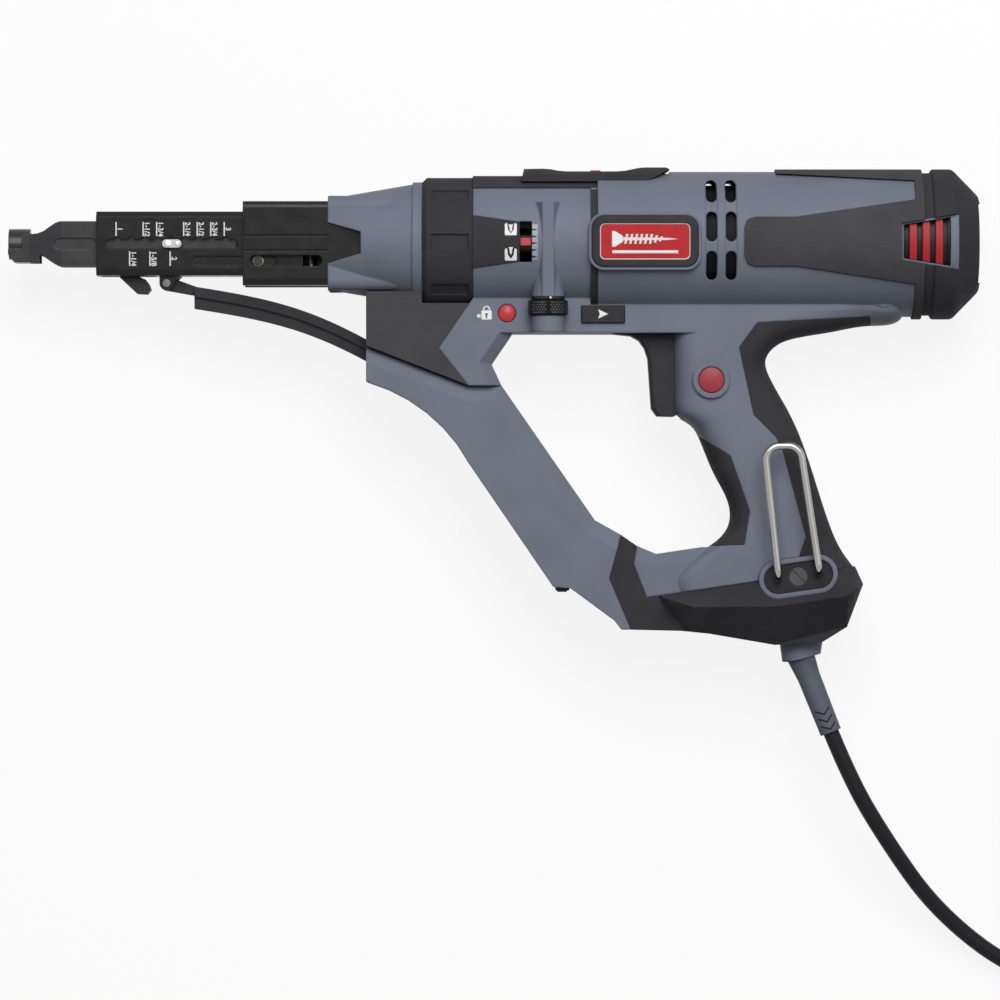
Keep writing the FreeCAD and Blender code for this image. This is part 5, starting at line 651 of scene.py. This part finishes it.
def badges():
    threads, core = screw_sign()
    line = frame_quads(*(rounded(BADGE_MIDDLE, 0, *sizes) for sizes in BADGE_LINE))
    for tag, near in (("near", True), ("far", False)):
        ink("badge_line_" + tag, line, flat(BADGE_FACE), LINE_LIFT, "body", near=near)
        ink("badge_sign_" + tag, threads, flat(BADGE_FACE), SIGN_LIFT, "body", near=near)
        ink("badge_core_" + tag, core, flat(BADGE_FACE), CORE_LIFT, "body", near=near)
        ink("badge_bar_" + tag, [rect(*BADGE_BAR)], flat(BADGE_FACE), BAR_LIFT, "body", near=near)


# Depth dial: two squares that show a screw set deep and one left proud, and ticks beside the dial
WEDGE_RADIUS, DIAL_RADIUS = 32.3, 31.8
SQUARE = 5.7
SQUARE_CORNER = 0.7
SQUARES = (("deep", (510.7, 232.4), 0.4), ("flush", (510.7, 257.4), 0.62))
NOTCH_SHARES = ((-0.3, 0.5), (0.3, 0.5), (0.24, -0.02), (0.0, -0.34), (-0.24, -0.02))
SCREW_SHARES = (
    (-0.2, 0.0), (0.2, 0.0), (0.11, -0.2), (0.09, -0.5), (0.0, -0.66), (-0.09, -0.5), (-0.11, -0.2),
)
STRIP_SPAN = (-27.5, -8.6, -24.7, 8.3)
TICKS, TICK_TOP, TICK_STEP = 5, 5.6, 3.16
TICK_BACK = -25.3
TICK_FOOT, TICK_TIP = 0.5, 0.2
SQUARE_LIFT, NOTCH_LIFT, SCREW_LIFT = 0.05, 0.09, 0.13
STRIP_LIFT, TICK_LIFT = 0.04, 0.08


def depth_signs():
    wedge, dial = barrel(WEDGE_RADIUS), barrel(DIAL_RADIUS)
    for tag, pixel, top in SQUARES:
        x, y = px(*pixel)
        notch = [(x + a * SQUARE, y + b * SQUARE) for a, b in NOTCH_SHARES]
        screw = [(x + a * SQUARE, y + (top + b) * SQUARE) for a, b in SCREW_SHARES]
        square = rounded(x, y, SQUARE, SQUARE, SQUARE_CORNER)
        ink("depth_sign_" + tag, [square], wedge, SQUARE_LIFT, "body", cuts=3)
        dark_mark("depth_notch_" + tag, [notch], wedge, NOTCH_LIFT, cuts=2)
        ink("depth_screw_" + tag, [screw], wedge, SCREW_LIFT, "body", cuts=2)
    grey_mark("depth_strip", [rect(*STRIP_SPAN)], dial, STRIP_LIFT, pale_grey, cuts=3)
    ticks = []
    for i in range(TICKS):
        y = TICK_TOP - TICK_STEP * i
        ticks.append([
            (STRIP_SPAN[0], y - TICK_FOOT), (TICK_BACK, y - TICK_TIP), (TICK_BACK, y + TICK_TIP),
            (STRIP_SPAN[0], y + TICK_FOOT),
        ])
    dark_mark("depth_ticks", ticks, dial, TICK_LIFT, cuts=1)


# Signs beside the buttons: an arrow on the slider, and a padlock by the release button
SLIDER_FACE = 20.2
BRIDGE_FACE = 18.6
ARROW_PIXELS = ((597.3, 310.5), (607.5, 315.3), (597.3, 320.1), (599.0, 315.3))
LOCK_BODY = (px(486.6, 316.3), (5.0, 4.4, 0.6))
LOCK_DOT = (px(478.9, 317.2), (1.7, 1.7, 0.4))
SHACKLE_PLACE = px(486.6, 311.6)
SHACKLE_SIZES = ((3.6, 4.4, 1.7), (2.0, 2.8, 0.95))
KEYHOLE = (px(486.6, 315.6), (1.3, 1.3, 0.62))
KEYWAY = (*px(485.8, 319.4), *px(487.4, 316.0))
ARROW_LIFT, LOCK_LIFT, SHACKLE_LIFT = 0.04, 0.06, 0.03
KEYHOLE_LIFT, KEYWAY_LIFT = 0.1, 0.13


def signs():
    arrow = [px(*pixel) for pixel in ARROW_PIXELS]
    bridge_top = flat(BRIDGE_FACE)
    ink("slider_arrow_near", [arrow], flat(SLIDER_FACE), ARROW_LIFT, "direction_slider")
    ink("slider_arrow_far", [arrow], flat(SLIDER_FACE), ARROW_LIFT, "direction_slider", near=False)
    lock = [rounded(*place, *sizes) for place, sizes in (LOCK_BODY, LOCK_DOT)]
    ink("lock_sign", lock, bridge_top, LOCK_LIFT, "body")
    shackle = frame_quads(*(rounded(*SHACKLE_PLACE, *sizes) for sizes in SHACKLE_SIZES))
    ink("lock_shackle", shackle, bridge_top, SHACKLE_LIFT, "body")
    place, sizes = KEYHOLE
    grey_mark("lock_keyhole", [rounded(*place, *sizes)], bridge_top, KEYHOLE_LIFT, shell_grey)
    grey_mark("lock_keyway", [rect(*KEYWAY)], bridge_top, KEYWAY_LIFT, shell_grey)


# Cord boot: its axis in the plane z = 0, its radii at the root, the waist and the end with the lengths
# between them, and three arrow marks near its end
BOOT_ROOT = (96.985, -188.244)
BOOT_HEADING = (0.36975, -0.92913)
BOOT_RADII = (7.4, 5.45, 5.1)
BOOT_LENGTHS = (17.0, 28.0)
BOOT_LEAST_SQUARE = 0.04
MARK_PIXELS = ((814.4, 711.6), (823.6, 713.9), (828.4, 706.3))
MARK_STEP = (3.1, 7.4)
MARKS = 3
MARK_HALF = 0.42
MARK_LIFTS = (0.05, 0.09)


def boot_surface(x, y):
    dx, dy = x - BOOT_ROOT[0], y - BOOT_ROOT[1]
    ahead = dx * BOOT_HEADING[0] + dy * BOOT_HEADING[1]
    aside = dx * BOOT_HEADING[1] - dy * BOOT_HEADING[0]
    root, waist, end = BOOT_RADII
    flare, tail = BOOT_LENGTHS
    if ahead < flare:
        radius = root - (root - waist) * ahead / flare
    else:
        radius = waist - (waist - end) * (ahead - flare) / tail
    return math.sqrt(max(radius * radius - aside * aside, BOOT_LEAST_SQUARE))


def boot_marks():
    lefts, rights = [], []
    for i in range(MARKS):
        left, point, right = (px(u + MARK_STEP[0] * i, v + MARK_STEP[1] * i) for u, v in MARK_PIXELS)
        lefts.append(stroke(left, point, MARK_HALF))
        rights.append(stroke(right, point, MARK_HALF))
    dark_mark("boot_marks", lefts, boot_surface, MARK_LIFTS[0], cuts=2)
    dark_mark("boot_ticks", rights, boot_surface, MARK_LIFTS[1], cuts=2)


# Painted shade at the seam between the gear barrel and the motor barrel: a dark band on each side that
# stands in for the groove's shadow
SEAM_RADII = (32.9, 33.12)
SEAM_SPAN = (0.08, 3.22)
SEAM_REACH = (-28.2, 24.8)
SEAM_MIDDLE = 33.0
SEAM_STEPS = 40


def seam_painted_shade():
    bm = bmesh.new()
    low, high = (math.asin(y / SEAM_MIDDLE) for y in SEAM_REACH)
    turns = [low + (high - low) * i / SEAM_STEPS for i in range(SEAM_STEPS + 1)]
    (inner, outer), (front, back) = SEAM_RADII, SEAM_SPAN
    for side in (1, -1):
        rings = []
        for radius, x in ((inner, front), (outer, front), (outer, back), (inner, back)):
            rings.append([
                bm.verts.new((x, radius * math.sin(a), side * radius * math.cos(a))) for a in turns
            ])
        for near, far in zip(rings, rings[1:] + rings[:1]):
            for i in range(SEAM_STEPS):
                bm.faces.new((near[i], near[i + 1], far[i + 1], far[i]))
        for i in (0, SEAM_STEPS):
            bm.faces.new([ring[i] for ring in rings])
    # black rubber laid in the groove as painted shade
    built("seam_painted_shade", bm, "body", rubber)


# Index plunger: two low round heads, each with its place, radius and rise
PLUNGER_HEADS = ((-198.5, 1.75, 0.32), (-194.1, 1.2, 0.24))
PLUNGER_MIDDLE = -0.2
PLUNGER_TOP = 15.15
HEAD_SHARES = ((1.0, -0.1), (1.0, 0.35), (0.9, 0.65), (0.7, 0.86), (0.4, 0.97))
HEAD_POINTS = 20


def plunger_heads():
    bm = bmesh.new()
    for x, radius, rise in PLUNGER_HEADS:
        rings = []
        for share, height in HEAD_SHARES:
            reach, z = radius * share, PLUNGER_TOP + rise * height
            rings.append(circle(bm, HEAD_POINTS, lambda a: (
                x + reach * math.cos(a), PLUNGER_MIDDLE + reach * math.sin(a), z,
            )))
        for low, high in zip(rings, rings[1:]):
            bridge(bm, low, high)
        bm.faces.new(rings[0])
        bm.faces.new(rings[-1])
    built("plunger_heads", bm, "index_plunger", steel)


# Thumbwheel: knurl in staggered rows between its grooves, and a ring with a dot at the boss above it
WHEEL_X, WHEEL_Z = -20.0, 24.5
KNURL_COUNT, KNURL_ROWS, KNURL_PITCH = 42, 5, 1.15
KNURL_TOP = -28.4
KNURL_ROOT, KNURL_TIP = 9.15, 9.47
KNURL_REACH_SHARE = 0.62
WHEEL_GROOVES = 6
GROOVE_SHARE = 0.12
RING_RADIUS = 7.95
RING_LOW, RING_HIGH = -26.7, -25.3
RING_OUTLINE = ((7.3, RING_LOW), (RING_RADIUS, RING_LOW), (RING_RADIUS, RING_HIGH), (7.2, RING_HIGH))
RING_POINTS = 48
DOT_PIXEL = (550.1, 299.6)
DOT_SIZES = (1.1, 1.1, 0.54)
DOT_LIFT = 0.06


def on_wheel(turn, y, radius):
    return WHEEL_X + radius * math.cos(turn), y, WHEEL_Z + radius * math.sin(turn)


def wheel_knurl():
    """Small pyramids; none stands in a groove."""
    bm = bmesh.new()
    step = 2 * math.pi / KNURL_COUNT
    reach = KNURL_REACH_SHARE
    for row in range(KNURL_ROWS):
        y = KNURL_TOP - KNURL_PITCH * row
        for i in range(KNURL_COUNT):
            turn = step * (i + row % 2 / 2)
            place = turn * WHEEL_GROOVES / (2 * math.pi) % 1
            if abs(place - 0.5) < GROOVE_SHARE:
                continue
            base = [
                bm.verts.new(on_wheel(turn + a * step, y + b * KNURL_PITCH, KNURL_ROOT))
                for a, b in ((-reach, 0), (0, -reach), (reach, 0), (0, reach))
            ]
            top = bm.verts.new(on_wheel(turn, y, KNURL_TIP))
            bm.faces.new(base)
            for k in range(4):
                bm.faces.new((base[k], base[(k + 1) % 4], top))
    built("wheel_knurl", bm, "depth_wheel", knurl_black)


def wheel_ring():
    bm = bmesh.new()
    rings = []
    for radius, y in RING_OUTLINE:
        rings.append(circle(bm, RING_POINTS, lambda a: on_wheel(a, y, radius)))
    for near, far in zip(rings, rings[1:] + rings[:1]):
        bridge(bm, near, far)
    built("wheel_ring", bm, "body", gloss_black)

    def crown(x, y):
        return WHEEL_Z + math.sqrt(RING_RADIUS ** 2 - (x - WHEEL_X) ** 2)

    ink("wheel_dot", [rounded(*px(*DOT_PIXEL), *DOT_SIZES)], crown, DOT_LIFT, "body", cuts=1)


# Catch for the screw strip under the arm: two bevelled blocks
CATCH_BLOCKS = (
    ((-16.4, -9.8), (-163.2, -160.6), (-7.0, 7.0), 0.5),
    ((-15.6, -10.8), (-163.9, -162.6), (-5.0, 5.0), 0.4),
)


def strip_catch():
    bm = bmesh.new()
    for spans in CATCH_BLOCKS:
        block(bm, *spans)
    built("strip_catch", bm, "body", black_plastic)


slide_scale()
badges()
depth_signs()
signs()
boot_marks()
seam_painted_shade()
plunger_heads()
wheel_knurl()
wheel_ring()
strip_catch()

# Stage, in metres: a white floor that keeps a soft shadow, soft light from above the barrel, and the camera;
# each lamp has its name, place, side and watts
FLOOR_HALF = 6
FLOOR_BOUNCE = (0.2, 0.2, 0.2, 1)
FLOOR_SHADOWED = (0.9, 0.9, 0.9, 1)
FLOOR_WHITE_SHARE = 0.88
WHITE = (1, 1, 1, 1)
WORLD_LIGHT, WORLD_SHOWN = 0.1, 1.0
LAMPS = (
    ("key", (0.15, 0.95, 1.65), 1.3, 33.0),
    ("fill", (0.95, 0.3, 1.4), 1.2, 3.0),
)
LAMP_AIM = Vector((0.0, -0.02, 0.035))
CAMERA_DISTANCE = 2.8
CAMERA_REACH = 50.0
SENSOR = 36.0


def background_rays(tree):
    """One for the rays that show the background: straight, mirrored or through glass."""
    rays = tree.nodes.new("ShaderNodeLightPath")
    total = rays.outputs["Is Camera Ray"]
    for kind in ("Is Glossy Ray", "Is Transmission Ray"):
        both = tree.nodes.new("ShaderNodeMath")
        both.operation = "ADD"
        both.use_clamp = True
        tree.links.new(total, both.inputs[0])
        tree.links.new(rays.outputs[kind], both.inputs[1])
        total = both.outputs[0]
    return total


def mixed(tree, share, first, second):
    """Mixes two shaders: share is a number, or the output that gives it."""
    mix = tree.nodes.new("ShaderNodeMixShader")
    if isinstance(share, float):
        mix.inputs["Fac"].default_value = share
    else:
        tree.links.new(share, mix.inputs["Fac"])
    tree.links.new(first, mix.inputs[1])
    tree.links.new(second, mix.inputs[2])
    return mix.outputs[0]


def coloured(tree, kind, colour):
    made = tree.nodes.new(kind)
    made.inputs["Color"].default_value = colour
    return made


def floor_material():
    """Dull for the light that it throws back, and white with a shadow where it shows."""
    material = bpy.data.materials.new("floor")
    material.use_nodes = True
    tree = material.node_tree
    tree.nodes.clear()
    bounce = coloured(tree, "ShaderNodeBsdfDiffuse", FLOOR_BOUNCE).outputs[0]
    shadowed = coloured(tree, "ShaderNodeBsdfDiffuse", FLOOR_SHADOWED).outputs[0]
    white = coloured(tree, "ShaderNodeEmission", WHITE).outputs[0]
    shown = mixed(tree, FLOOR_WHITE_SHARE, shadowed, white)
    out = tree.nodes.new("ShaderNodeOutputMaterial")
    tree.links.new(mixed(tree, background_rays(tree), bounce, shown), out.inputs["Surface"])
    return material


def floor():
    mesh = bpy.data.meshes.new("floor")
    corners = rect(-FLOOR_HALF, -FLOOR_HALF, FLOOR_HALF, FLOOR_HALF)
    mesh.from_pydata([(x, y, 0) for x, y in corners], [], [(0, 1, 2, 3)])
    mesh.materials.append(floor_material())
    piece = bpy.data.objects.new("floor", mesh)
    scene.collection.objects.link(piece)


def studio():
    world = bpy.data.worlds.new("studio")
    scene.world = world
    world.use_nodes = True
    tree = world.node_tree
    tree.nodes.remove(tree.nodes["Background"])
    light = coloured(tree, "ShaderNodeBackground", WHITE)
    light.inputs["Strength"].default_value = WORLD_LIGHT
    shown = coloured(tree, "ShaderNodeBackground", WHITE)
    shown.inputs["Strength"].default_value = WORLD_SHOWN
    mix = mixed(tree, background_rays(tree), light.outputs[0], shown.outputs[0])
    tree.links.new(mix, tree.nodes["World Output"].inputs["Surface"])


def lamps():
    for name, place, size, power in LAMPS:
        light = bpy.data.lights.new(name, "AREA")
        light.size = size
        light.energy = power
        lamp = bpy.data.objects.new(name, light)
        lamp.location = place
        lamp.rotation_euler = (LAMP_AIM - Vector(place)).to_track_quat("-Z", "Y").to_euler()
        scene.collection.objects.link(lamp)


def camera():
    """Straight above the tool; at the height of the drive line it frames what the photograph does."""
    data = bpy.data.cameras.new("camera")
    data.sensor_width = SENSOR
    data.lens = SENSOR * CAMERA_DISTANCE / (PHOTO_SIDE * PIXEL / METRE)
    data.clip_end = CAMERA_REACH
    made = bpy.data.objects.new("camera", data)
    made.location = spot(*px(PHOTO_SIDE / 2, PHOTO_SIDE / 2)) + Vector((0, 0, CAMERA_DISTANCE))
    scene.collection.objects.link(made)
    scene.camera = made


floor()
studio()
lamps()
camera()
scene.view_settings.view_transform = "Standard"
